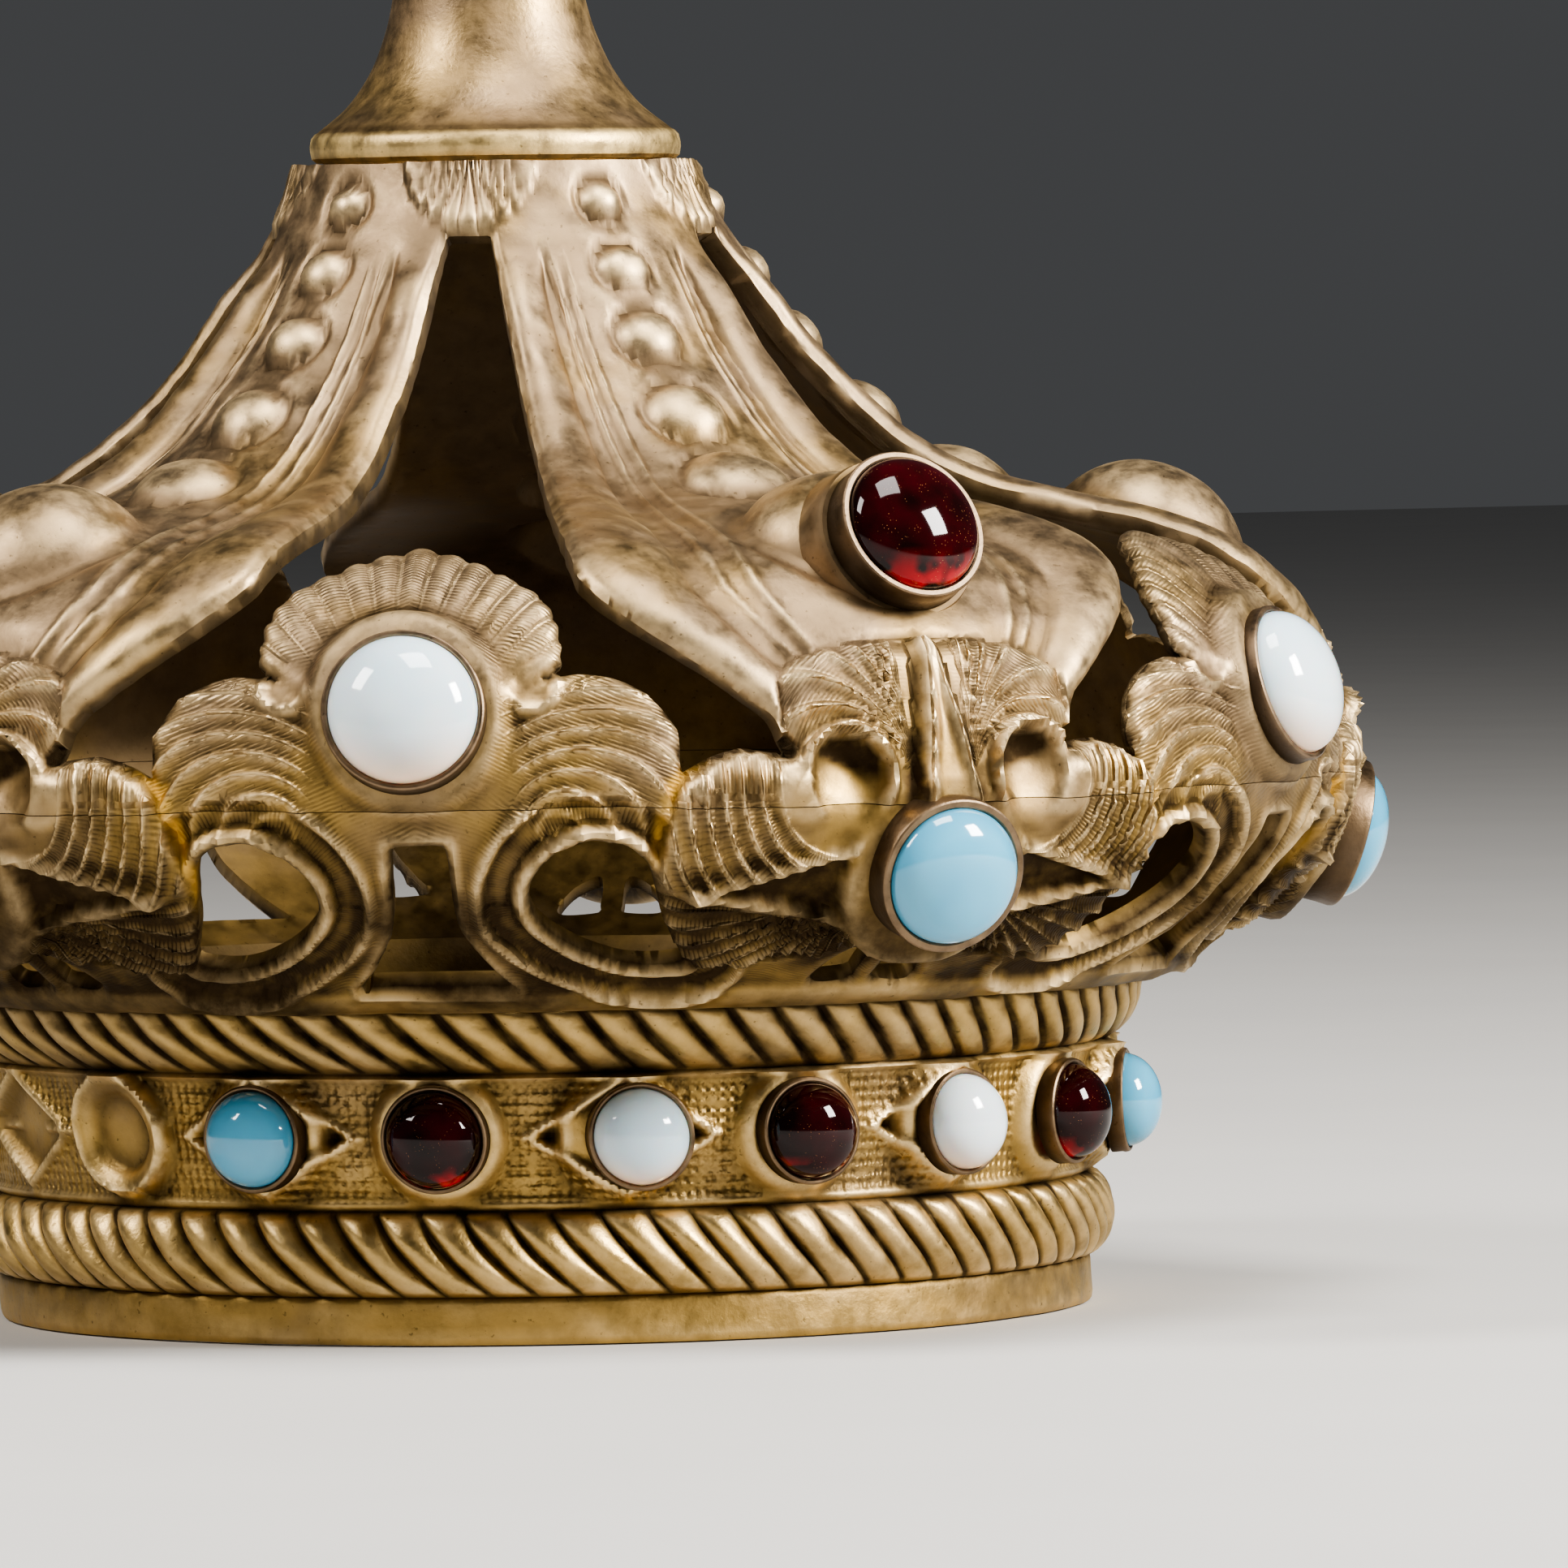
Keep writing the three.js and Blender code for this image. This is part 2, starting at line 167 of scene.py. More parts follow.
def depth_inside(x, y, line):
    """Distance to the closed line, positive inside it."""
    nearest = np.full(x.shape, 1e9)
    inside = np.zeros(x.shape, bool)
    for (ax, ay), (bx, by) in zip(line, np.roll(line, -1, axis=0)):
        dx, dy = bx - ax, by - ay
        long2 = dx * dx + dy * dy
        if long2 < 1e-12:
            continue
        t = np.clip(((x - ax) * dx + (y - ay) * dy) / long2, 0, 1)
        nearest = np.minimum(nearest, (x - ax - t * dx) ** 2 + (y - ay - t * dy) ** 2)
        if dy != 0:
            crossing = (ay > y) != (by > y)
            inside ^= crossing & (x < ax + (y - ay) * dx / dy)
    return np.where(inside, 1, -1) * np.sqrt(nearest)


def scalloped(run, count, depth):
    """Bites small scallops into a smooth run of (angle, z)."""
    line = smooth_line([spot(a, z) for a, z in run], 14)
    t = np.linspace(0, count, len(line))
    across = np.gradient(line, axis=0)[:, ::-1] * (1, -1)
    across /= np.linalg.norm(across, axis=1)[:, None]
    return line + across * (depth * np.abs(np.sin(np.pi * t)))[:, None]


SHELL_LOBE = [(18.0, 36.9), (18.2, 38.5), (18.0, 39.8), (16.9, 41.4), (15.0, 42.7),
              (12.5, 43.3), (9.6, 43.1)]
SHELL_FAN = [(9.6, 43.1), (10.4, 44.0), (10.4, 45.5), (10.0, 47.1), (8.7, 48.5), (6.0, 49.7),
             (3.1, 50.5), (0, 51.0)]
LEAF_TOP = [(0, 45.1), (3.7, 45.0), (7.2, 44.6), (9.6, 44.1), (10.9, 43.2), (11.4, 42.0),
            (11.3, 39.4), (10.6, 38.0)]
LEAF_LOBE = [(10.6, 38.0), (13.4, 38.4), (15.6, 38.0), (17.9, 36.9)]
LEAF_SIDE = [(17.9, 36.9), (19.0, 35.2), (20.0, 31.4), (19.4, 28.2), (18.2, 26.0), (16.2, 24.9),
             (11.5, 24.75), (6.0, 25.2), (3.0, 26.0), (0, 26.4)]
ARCH_SIDE = [(12.7, 41.3), (16.2, 43.7), (20.2, 46.2), (23.2, 48.4), (24.1, 50.2), (24.3, 53.6),
             (25.1, 57.4), (26.3, 61.3), (28.05, 66.3), (30.4, 71.0)]


def from_shell(run):
    """The same run measured from the shell's middle instead of the leaf's."""
    return [(36 - a, z) for a, z in run]


fan_edge = scalloped(SHELL_FAN, 10, 0.2)
rest_edge = [smooth_line([spot(a, z) for a, z in run], 6) for run in (
    from_shell(ARCH_SIDE)[::-1],
    from_shell([(12.7, 41.3), (11.6, 40.3), (11.0, 38.9), (10.6, 38.0)]),
    from_shell(LEAF_LOBE), SHELL_LOBE)]
half_opening = np.vstack([[[0, spot(0, 71.0)[1]]], *rest_edge, fan_edge])
ARCH_OPENING = np.vstack([half_opening, (half_opening * (-1, 1))[::-1]])
LEAF_SHAPE = outline_of(LEAF_TOP, LEAF_LOBE, LEAF_SIDE)
SCROLL_HOLE = one_sided([(7.5, 29.2), (7.6, 30.2), (8.2, 31.2), (9.3, 32.1), (10.9, 32.8),
                         (12.7, 32.9), (14.5, 32.5), (15.7, 31.5), (16.4, 29.8), (17.3, 27.8),
                         (18.6, 26.2), (19.6, 25.1), (17.6, 24.8), (15.0, 24.9), (12.2, 25.6),
                         (9.9, 26.6), (8.5, 27.5), (7.8, 28.3)])
BELL_HOLE = outline_of([(0, 32.9), (1.6, 32.8), (1.9, 32.2), (2.3, 28.0), (3.0, 26.6), (4.6, 24.8),
                        (6.3, 23.6)], [(6.3, 23.6), (0, 23.6)])
STUB_HOLE = one_sided([(1.0, 24.0), (1.2, 23.5), (4.4, 23.4), (4.9, 23.9), (3.4, 25.2), (1.2, 25.9)])
print("outline points:", len(ARCH_OPENING), len(LEAF_SHAPE), len(SCROLL_HOLE), len(BELL_HOLE))

# %% [markdown]
# `Strip` is a fine net of points on the sheet: columns round the crown and rows along it.
# For every point it knows the place on the nearest leaf and on the nearest shell, so one
# drawing of a leaf and one of a shell serve all five.

# %% The net of points
COLUMNS = 1200


class Strip:
    """A net on the sheet between two distances along it, with rows of given spacing."""

    def __init__(self, start, end, pitches):
        rows = [start]
        while rows[-1] < end - 0.2:
            here = next(p for limit, p in pitches if rows[-1] < limit)
            rows.append(rows[-1] + here)
        rows = np.array(rows)
        self.along = (start + (rows - start) * (end - start) / (rows[-1] - start))[:, None]
        self.angle = np.arange(COLUMNS)[None, :] * (360.0 / COLUMNS) + self.along * 0
        self.along = self.along + self.angle * 0
        self.read()

    def read(self):
        """Works out every place that the ornament is measured from."""
        self.r, self.z, self.nr, self.nz = on_sheet(self.along)
        turn = np.radians(self.angle)
        self.px, self.py = self.r * np.sin(turn), -self.r * np.cos(turn)
        wander = 0.25 * uneven(self.px, self.py, self.z, 16)
        self.signed = (self.angle + 36 + wander) % 72 - 36
        self.leaf_x = self.r * np.radians(np.abs(self.signed))
        self.shell_x = self.r * np.radians(36 - np.abs(self.signed))
        self.y = self.along - SEAM + 0.12 * uneven(self.px, self.py, self.z, 11)


def softened(field, reach):
    """The field averaged over that many points each way, round the crown and along it."""
    kernel = np.hanning(2 * reach + 3)[1:-1]
    kernel /= kernel.sum()
    padded = np.pad(field, ((reach, reach), (0, 0)), mode="edge")
    down = sum(w * padded[i:i + field.shape[0]] for i, w in enumerate(kernel))
    return sum(w * np.roll(down, i - reach, axis=1) for i, w in enumerate(kernel))


print("columns:", COLUMNS, "or one every", round(2 * math.pi * OUTLINE[:, 0].max() / COLUMNS, 2), "mm")

# %% [markdown]
# The leaf looks like a mask: a tall spike up the middle, ribs that fan out and droop to each
# side, a smooth hollow like an eye beside the spike, stepped fronds on the side lobes, and
# below the stone a pointed groove over a small fan. A chaser works such forms one after the
# other, so each is a short function here. It is given places on the flat strip, x to the
# side and y up from the seam, and gives heights in millimetres above the sheet. What comes
# in rows, such as the ribs, is numbered by a phase that grows by 1 from each to the next.

# %% The leaf's ribs and eye
SEAT_LEAF = spot(0, 30.9)
RIB_FOOT = (2.2, 0.9)
BROW, RIB_PITCH = 0.58, 0.068        # the first rib's bend, and the step from rib to rib


def crest(phase):
    """A thin raised line at each whole number."""
    return bump_at((phase + 0.5) % 1 - 0.5, 0.2)


def leaf_ribs(x, y):
    """Height, share and phase of the ribs, and the distance from their foot."""
    # circles that all touch one upright line at the foot droop as the ribs do
    far = np.hypot(x - RIB_FOOT[0], y - RIB_FOOT[1]) + 1e-6
    bend = np.sqrt(np.clip(2 * (x - RIB_FOOT[0]), 0, None)) / far
    phase = (BROW - bend) / RIB_PITCH
    share = step_up(0.0, 1.0, y) * step_up(-0.15, 0.25, phase)
    return share * (0.34 * crest(phase) + 0.20 * (phase % 1) - 0.2), share, phase, far


def leaf_eye(x, y):
    """Height of a smooth bowl under a raised brow, how far out a place is, and its shade."""
    ex, ey = (x - 6.5) / 2.5, (y - 1.6) / 2.45
    far = np.hypot(ex, ey)
    bowl = -1.5 * np.clip(1 - far ** 2, 0, None) ** 0.75
    bowl = bowl * np.clip(0.74 + 0.60 * ey - 0.20 * ex, 0.12, 1.3)
    brow_side = step_up(-0.5, 0.5, ey - 0.55 * ex)
    # painted shade: the bowl's upper part under the brow, darkened in colour
    shaded = step_up(-0.1, 0.7, ey - 0.35 * ex) * step_up(1.15, 0.85, far)
    return bowl + bump_at(far - 1.14, 0.13) * brow_side, far, shaded


print("leaf's ribs begin at", RIB_FOOT, "mm from the middle of the seam")

# %% [markdown]
# The side lobes carry stepped arcs round the eye. Below them two ridges meet in a point, and
# under those hangs a small fan with a drop pressed into it. Each is measured from something
# simple: the middle of a circle, a straight line, or the fan's foot.

# %% The leaf's fronds, spear and fan
SPEAR_TIP, SPEAR_UP, SPEAR_LOW = spot(17.2, 30.3), spot(5.0, 33.0), spot(7.0, 28.8)
FAN_FOOT = spot(6.0, 29.2)
RING_X, RING_Y = 6.2, 1.4
RIBS_END = 10.2                      # the ribs stop this far out, and the fronds take over


def to_segment(x, y, a, b):
    """Distance from the straight line between two places."""
    d = b - a
    t = np.clip(((x - a[0]) * d[0] + (y - a[1]) * d[1]) / (d @ d), 0, 1)
    return np.hypot(x - a[0] - t * d[0], y - a[1] - t * d[1])


def leaf_spear(x, y):
    """Height of the pointed groove, its upper and lower line, and the share between them."""
    line_up, line_low = (np.interp(x, [start[0], SPEAR_TIP[0]], [start[1], SPEAR_TIP[1]])
                         for start in (SPEAR_UP, SPEAR_LOW))
    between = step_up(0, 0.5, line_up - y) * step_up(0, 0.5, y - line_low)
    height = -0.75 * between * step_up(0, 3, SPEAR_TIP[0] - x)
    for start in (SPEAR_UP, SPEAR_LOW):
        height = height + 0.62 * bump_at(to_segment(x, y, start, SPEAR_TIP), 0.5)
    return height, line_up, line_low, between


def leaf_fronds(x, y, line_up, ribbed):
    """Height, share and phase of the stepped arcs above the spear."""
    ring = np.hypot(x - RING_X, y - RING_Y) + 1e-6
    phase = (ring / (0.8 + 0.2 * (x - RING_X) / ring) - 4.9) / 1.15
    above = step_up(-0.1, 0.5, y - line_up)
    share = above * step_up(-0.1, 0.15, phase) * (1 - ribbed)
    share = share * step_up(6.0, 7.5, x + 0.6 * np.clip(-y, 0, 3))
    return share * (0.30 * crest(phase) + 0.36 * (1 - phase % 1) - 0.2), share, phase


def leaf_fan(x, y, line_low):
    """Height, share and phase of the fan below the spear, and the distance from its foot."""
    across, down = x - FAN_FOOT[0], FAN_FOOT[1] - y
    phase = np.degrees(np.arctan2(down, across + 1e-6)) / 10.5
    share = step_up(0.1, 0.7, line_low - y)
    fan = share * (0.42 * crest(phase) + 0.15 * (phase % 1) - 0.4)
    drop = np.hypot((x - 7.4) / 1.9, y - spot(0, 25.5)[1])
    fan = fan - 0.6 * step_up(1.15, 0.8, drop) + 0.2 * bump_at(drop - 1.25, 0.15)
    return fan, share, phase, np.hypot(across, down)


print("the spear's point lies", round(SPEAR_TIP[0], 1), "mm beside the leaf's middle")

# %% [markdown]
# Last the spike is set on top, with a ridge along each of its edges, and the metal swells
# round the stone's seat. The finish needs more than a height: where the ground is hatched
# and which way the strokes run, where it is smooth, and the phase of the nearest flutes,
# from which the shader draws their sharp edges finer than any net of points could.

# %% The leaf's relief
SPIKE_TALL = 10.2


def leaf_spike(x, y):
    """Height of the spike, the distance outside its ridged edge, and its share."""
    up = np.clip(y / SPIKE_TALL, 0, 1)
    half = 1.6 * (1 - up) ** 1.2 + 0.32
    beyond = x - half
    spike = (1.05 - 0.35 * up) * step_up(0.55, -0.25, beyond) + 0.45 * bump_at(beyond + 0.25, 0.45)
    spike = spike * step_up(-1.2, 0.3, y) * step_up(10.8, 10.2, y)
    spike = spike - 0.15 * bump_at(beyond - 0.3, 0.3) * step_up(0, 1, y) * step_up(10.5, 9, y)
    outside = beyond + 0.25
    return spike, outside, step_up(0.95, 0.7, outside) * step_up(-0.6, 0.2, y) * step_up(10.9, 10.5, y)


def leaf_relief(s):
    """The leaf over the whole strip: its height and all that the finish needs."""
    x, y = s.leaf_x, s.y
    inside = depth_inside(x, y, LEAF_SHAPE)
    ribs, upper, rib_phase, rib_far = leaf_ribs(x, y)
    ribbed = upper * (x < RIBS_END)
    eye, eye_far, shaded = leaf_eye(x, y)
    spear, line_up, line_low, between = leaf_spear(x, y)
    fronds, lobe, ring_phase = leaf_fronds(x, y, line_up, ribbed)
    fan, below, fan_phase, fan_far = leaf_fan(x, y, line_low)
    spike, outside, on_spike = leaf_spike(x, y)
    # seat of the stone: swells out of the metal to meet the cup
    sy = y - SEAT_LEAF[1]
    seat_far = np.hypot(x, sy)
    seat = (1.35 - 0.19 * sy) * step_up(7.4, 5.2, seat_far)
    plain = np.maximum(step_up(1.1, 0.9, eye_far), step_up(6.5, 5.9, seat_far))
    cheek = step_up(2.7, 1.7, np.hypot(x - 9.2, (y - 0.9) * 1.2))
    lift = 0.95 * np.clip(inside / 1.6, 0, 1) ** 0.5
    carved = (ribs + fronds) * (1 - plain) * (1 - cheek) + spear * (1 - plain) + fan * (1 - plain)
    height = lift + carved + eye + np.maximum(spike, 0) + np.minimum(spike, 0) * (1 - plain)
    height = height + 0.35 * cheek * (1 - step_up(1.1, 0.9, eye_far)) + seat * (inside > -1)
    # what the finish needs; smooth is 1 where no dirt clings, and below 0 in the eye's shade
    share = step_up(0.1, 0.6, inside)
    off_spike = 1 - step_up(0.02, 0.2, spike)
    hatch = share * (1 - plain) * (1 - cheek) * off_spike
    hatch = hatch * np.clip(upper + lobe + below, 0, 1) * (1 - 0.8 * between) * step_up(1.2, 3.6, x)
    smooth = np.clip(step_up(1.25, 1.05, eye_far) + cheek, 0, 1)
    round_eye = np.arctan2(y - RING_Y, x - RING_X) * 7.0
    run = np.where(below > 0.5, fan_far, np.where(upper > 0.5, rib_far, round_eye))
    phase = np.where(below > 0.5, fan_phase, np.where(ribbed > 0.5, rib_phase, ring_phase))
    ridged = np.clip(ribbed + lobe + below, 0, 1) * (1 - plain) * (1 - cheek)
    ridged = ridged * share * (1 - between) * off_spike * step_up(0.35, 0.9, inside)
    phase = np.where(on_spike > 0, np.clip(outside, -0.45, 1) / 1.2, phase)
    ridged = np.where(on_spike > 0, 0.9 * on_spike * share, ridged)
    return {"height": height * share, "share": share, "inside": inside, "hatch": hatch, "run": run,
            "smooth": (smooth - 2 * shaded) * share, "phase": phase, "ridged": ridged}


print("leaf: spike", SPIKE_TALL, "mm tall over the seam")

# %% [markdown]
# The shell: a fluted fan above the stone, a lobe each side whose flutes follow the edge, and
# below the seam the scrolls, whose hatched channels run round the punched holes. The rims
# and channels are made from the distance to the hole's outline, so they keep their width.

# %% The shell's fan and lobes
SEAT_SHELL = spot(0, 41.0)
NOTCH = spot(9.3, 43.0)


def shell_fan(x, y, stone_far):
    """Height of the fan's flutes, the share they cover, their phase and their depth."""
    angle = np.degrees(np.arctan2(x, y - 2.4))
    phase = angle / 7.4
    share = step_up(5.6, 6.4, stone_far) * step_up(70, 58, angle) * step_up(5.6, 7.2, y)
    deep = step_up(5.6, 10.0, stone_far)
    return share * 0.36 * deep * (np.abs(np.cos(np.pi * phase)) ** 0.5 - 0.7), share, phase, deep


def shell_lobe(x, y, fan_share):
    """Height, share and phase of the flutes on the side lobe."""
    share = step_up(6.6, 8.2, x + 0.15 * y) * step_up(9.8, 8.6, y) * step_up(-5.5, -1.5, y)
    share = share * (1 - fan_share)
    swing = np.hypot(x - 8.6, (y + 1.4) * 1.1)
    phase = (swing - 0.35 * (x - 8.6)) / 1.3
    return share * (0.22 * crest(phase) + 0.22 * (phase % 1) - 0.2), share, phase


print("the shells' stones sit", round(SEAT_SHELL[1], 1), "mm above the seam")

# %% [markdown]
# The scrolls are drawn over the strip below the seam: a rolled rim round each hole, a sunk
# channel, and an outer ridge. A plain bar crosses their foot, and a small bell-shaped hole
# stands under each shell.

# %% The shell's relief
BAR_Z = 22.75
CHANNEL_MIDDLE = (spot(12.2, 28.8)[0], spot(0, 28.8)[1])


def scroll_relief(y, hole_far):
    """Height of the scroll round a punched hole, from the distance to the hole."""
    low = step_up(0.6, -0.6, y)
    rim = 0.38 * np.clip(np.sin(np.pi * np.clip(hole_far, 0, 1)), 0, 1) ** 0.6
    groove = -0.42 * step_up(0.85, 1.3, hole_far) * step_up(3.2, 2.6, hole_far)
    outer = 0.55 * bump_at(hole_far - 3.35, 0.42)
    reach = step_up(-3.2, -2.2, -hole_far)
    return (rim + groove + outer) * np.maximum(low, step_up(2.6, 1.6, y) * reach)


def shell_relief(s):
    """The shell over the whole strip: its height and all that the finish needs."""
    x, y = s.shell_x, s.y
    stone_far = np.hypot(x, y - SEAT_SHELL[1])
    fan, fan_share, fan_phase, deep = shell_fan(x, y, stone_far)
    lobe, lobe_share, lobe_phase = shell_lobe(x, y, fan_share)
    # curled lip in the notch
    notch_far = np.hypot(x - NOTCH[0] + 0.6, y - NOTCH[1] + 0.5)
    lip = 0.45 * bump_at(notch_far - 1.5, 0.4) * step_up(1.0, -1.0, y - NOTCH[1])
    seat = (1.15 + 0.05 * (y - SEAT_SHELL[1])) * step_up(6.9, 5.5, stone_far)
    hole_far, bell_far = -depth_inside(x, y, SCROLL_HOLE), -depth_inside(x, y, BELL_HOLE)
    scroll = scroll_relief(y, hole_far)
    bell = 0.35 * bump_at(bell_far - 0.45, 0.4)
    bar = 0.45 * dome_over(s.z - BAR_Z, 0.75)
    open_far = np.clip(-depth_inside(x, y, ARCH_OPENING), 0, None)
    crown = 0.45 * np.clip(open_far / 1.8, 0, 1) ** 0.5
    plate = 0.18 * uneven(s.px, s.py, s.z, 5)
    low = step_up(0.6, -0.6, y)
    height = crown + fan + lobe + lip + seat + scroll + (bell + bar) * low + plate * 0.4
    # what the finish needs
    hatch = np.clip(lobe_share * 0.8 + fan_share * 0.4 + 0.5, 0, 1) * step_up(5.6, 6.1, stone_far)
    hatch = hatch * (1 - step_up(2.6, 1.8, notch_far)) * (1 - step_up(1.3, 0.9, hole_far))
    hatch = hatch * (1 - step_up(0.9, 0.4, bell_far)) * step_up(23.2, 23.8, s.z)
    wander = 0.12 * uneven(s.px, s.py, s.z, 2.2)
    in_channel = step_up(1.0, 1.5, hole_far) * step_up(3.2, 2.7, hole_far)
    round_hole = 7 * np.arctan2(y - CHANNEL_MIDDLE[1], x - CHANNEL_MIDDLE[0])
    run = np.where(in_channel > 0.5, round_hole, 0.35 * x + 0.9 * y + wander)
    ridged = np.clip(lobe_share * step_up(-0.2, 0.6, y) + 0.7 * fan_share * deep, 0, 1)
    ridged = ridged * (1 - step_up(2.2, 1.6, notch_far))
    phase = np.where(fan_share > 0.5, fan_phase + 0.5, lobe_phase)
    return {"height": height, "hatch": hatch, "run": run, "phase": phase, "ridged": ridged}


print("the scrolls' channels run round", [round(v, 1) for v in CHANNEL_MIDDLE], "mm")

# %% [markdown]
# Each arch has a rolled border, a groove with a thin line beside it, and a raised middle
# that carries five beads growing towards a big round boss. A ball that stands through the
# sheet is met exactly by `ball_height`, so its outline is a true circle. Between two arches
# a small pleated fan hangs from the collar.

# %% The arches' relief
BEADS = [(72.9, 1.5, 1.15), (68.4, 1.9, 1.35), (63.8, 2.3, 1.55), (58.7, 2.9, 1.8),
         (54.2, 3.8, 2.1)]           # height of the middle, radius, rise
BOSS_R, BOSS_Z, BOSS_BALL = 42.6, 48.3, 7.0


def ball_height(s, ball_x, ball_r, ball_z, radius):
    """How far out from the sheet the ball's face is, or 0 where it misses."""
    d_r, d_z = s.r * np.cos(ball_x / s.r) - ball_r, s.z - ball_z
    d_x = s.r * np.sin(ball_x / s.r)
    towards = d_r * s.nr + d_z * s.nz
    room = towards ** 2 - (d_r ** 2 + d_z ** 2 + d_x ** 2 - radius ** 2)
    return np.where(room > 0, -towards + np.sqrt(np.clip(room, 0, None)), 0)


def arch_edge(s):
    """Distance from the arch's middle to its side, in millimetres, at each place."""
    return s.r * np.radians(np.interp(s.z, [z for _, z in ARCH_SIDE], [a for a, _ in ARCH_SIDE]))


def arch_relief(s):
    """Height of the arch and of its large forms alone."""
    x, y = s.leaf_x, s.y
    u = x / arch_edge(s)
    flange = 1.15 * np.clip(np.sin(np.pi * np.clip((u - 0.64) / 0.44, 0, 1)), 0, 1) ** 0.8
    middle = 0.75 * np.clip(1 - (u / 0.52) ** 2, 0, None) ** 0.6 + 0.1
    groove = -0.65 * bump_at(u - 0.62, 0.035) + 0.3 * bump_at(u - 0.55, 0.025)
    line = 0.22 * bump_at(u - 0.45, 0.02)
    height = (flange + middle * (u < 0.54) + groove + line) * step_up(70.5, 66, s.z)
    collar = 0.5 * step_up(66, 71, s.z)
    height = height + collar + 0.14 * uneven(s.px, s.py, s.z, 9)
    big = 0 * height
    for z, size, rise in BEADS:
        far = np.hypot(x, y - spot(0, z)[1])
        big = np.maximum(big, rise * dome_over(far, size))
        height = height - 0.25 * bump_at(far - size - 0.25, 0.3)
    boss = ball_height(s, x, BOSS_R, BOSS_Z, BOSS_BALL)
    foot = np.hypot(x, y - spot(0, 51.1)[1])
    big = np.maximum(big, boss)
    height = height - 0.3 * bump_at(foot - BOSS_BALL - 0.2, 0.6)
    # pleated fan hanging from the collar between two arches
    fx, fy = s.shell_x, spot(0, 75.6)[1] - y
    fan_far = np.hypot(fx * 1.05, fy)
    pleat = np.degrees(np.arctan2(fx, fy + 0.6)) / 15
    fan = 0.55 + 0.30 * np.abs(np.cos(np.pi * pleat)) ** 0.6
    height = height + (fan - height) * step_up(4.7, 4.2, fan_far)
    return height, big


print("beads up each arch:", len(BEADS), "and a boss", BOSS_BALL, "mm in radius")

# %% [markdown]
# The back of a struck sheet follows the large swellings but not the fine lines, so it is a
# net of its own, joined to the front along every edge. Both are cut where the openings are.
# A cutter and a boolean would be slow and ragged on so fine a net. Instead the points close
# to an outline are first moved onto it, and then only the faces inside the metal are kept.

# %% From relief to a closed sheet
SHEET = 0.85             # from the face to the back, in millimetres


def cut_faces(keep, depth):
    """Quads and triangles of the net whose corners are all kept and whose middle is metal."""
    rows, columns = keep.shape
    number = np.arange(rows * columns).reshape(rows, columns)
    right = np.roll(number, -1, axis=1)
    corners = np.stack([number[:-1], right[:-1], right[1:], number[1:]], axis=-1).reshape(-1, 4)
    flat_keep, flat_depth = keep.ravel(), depth.ravel()
    kept, mean = flat_keep[corners], flat_depth[corners].mean(axis=1)
    quads = corners[(kept.sum(1) == 4) & (mean > 0)]
    three = (kept.sum(1) == 3)
    triangles = []
    for missing in range(4):
        rows_here = corners[three & ~kept[:, missing]]
        tri = np.delete(rows_here, missing, axis=1)
        triangles.append(tri[flat_depth[tri].mean(axis=1) > 0])
    return quads, np.vstack(triangles)


def write_mesh(name, points, faces, values, smooth_angle=42):
    """A mesh object from points in millimetres, a list of face arrays and named values."""
    mesh = bpy.data.meshes.new(name)
    sizes = np.concatenate([np.full(len(f), f.shape[1]) for f in faces if len(f)])
    corners = np.concatenate([f.ravel() for f in faces if len(f)])
    leaning = np.array(points, float)
    leaning[:, 0] += FOOT_X + LEAN * leaning[:, 2]
    mesh.vertices.add(len(points))
    mesh.vertices.foreach_set("co", (leaning * MM).astype(np.float32).ravel())
    mesh.loops.add(len(corners))
    mesh.loops.foreach_set("vertex_index", corners.astype(np.int32))
    mesh.polygons.add(len(sizes))
    starts = np.concatenate([[0], np.cumsum(sizes)[:-1]])
    mesh.polygons.foreach_set("loop_start", starts.astype(np.int32))
    mesh.polygons.foreach_set("use_smooth", np.ones(len(sizes), bool))
    mesh.update(calc_edges=True)
    mesh.validate()
    for key, field in values.items():
        mesh.attributes.new(key, "FLOAT", "POINT").data.foreach_set("value", field.astype(np.float32))
    mesh.set_sharp_from_angle(angle=math.radians(smooth_angle))
    piece = bpy.data.objects.new(name, mesh)
    bpy.context.scene.collection.objects.link(piece)
    return piece


def closed_sheet(name, front, back, faces, values, smooth_angle=42):
    """Joins a front and a back net along every free edge and drops unused points."""
    count = len(front)
    edges = np.concatenate([np.stack([f, np.roll(f, -1, axis=1)], axis=-1).reshape(-1, 2)
                            for f in faces if len(f)])
    code, reverse = edges[:, 0] * count + edges[:, 1], edges[:, 1] * count + edges[:, 0]
    free = edges[~np.isin(code, reverse)]
    walls = np.stack([free[:, 1], free[:, 0], free[:, 0] + count, free[:, 1] + count], axis=1)
    whole = [*faces, *[f[:, ::-1] + count for f in faces], walls]
    used = np.unique(np.concatenate([f.ravel() for f in whole]))
    order = np.full(2 * count, -1)
    order[used] = np.arange(len(used))
    points = np.vstack([front, back])[used]
    both = {k: np.concatenate([v, v * 0 + rest])[used] for k, (v, rest) in values.items()}
    return write_mesh(name, points, [order[f] for f in whole if len(f)], both, smooth_angle)


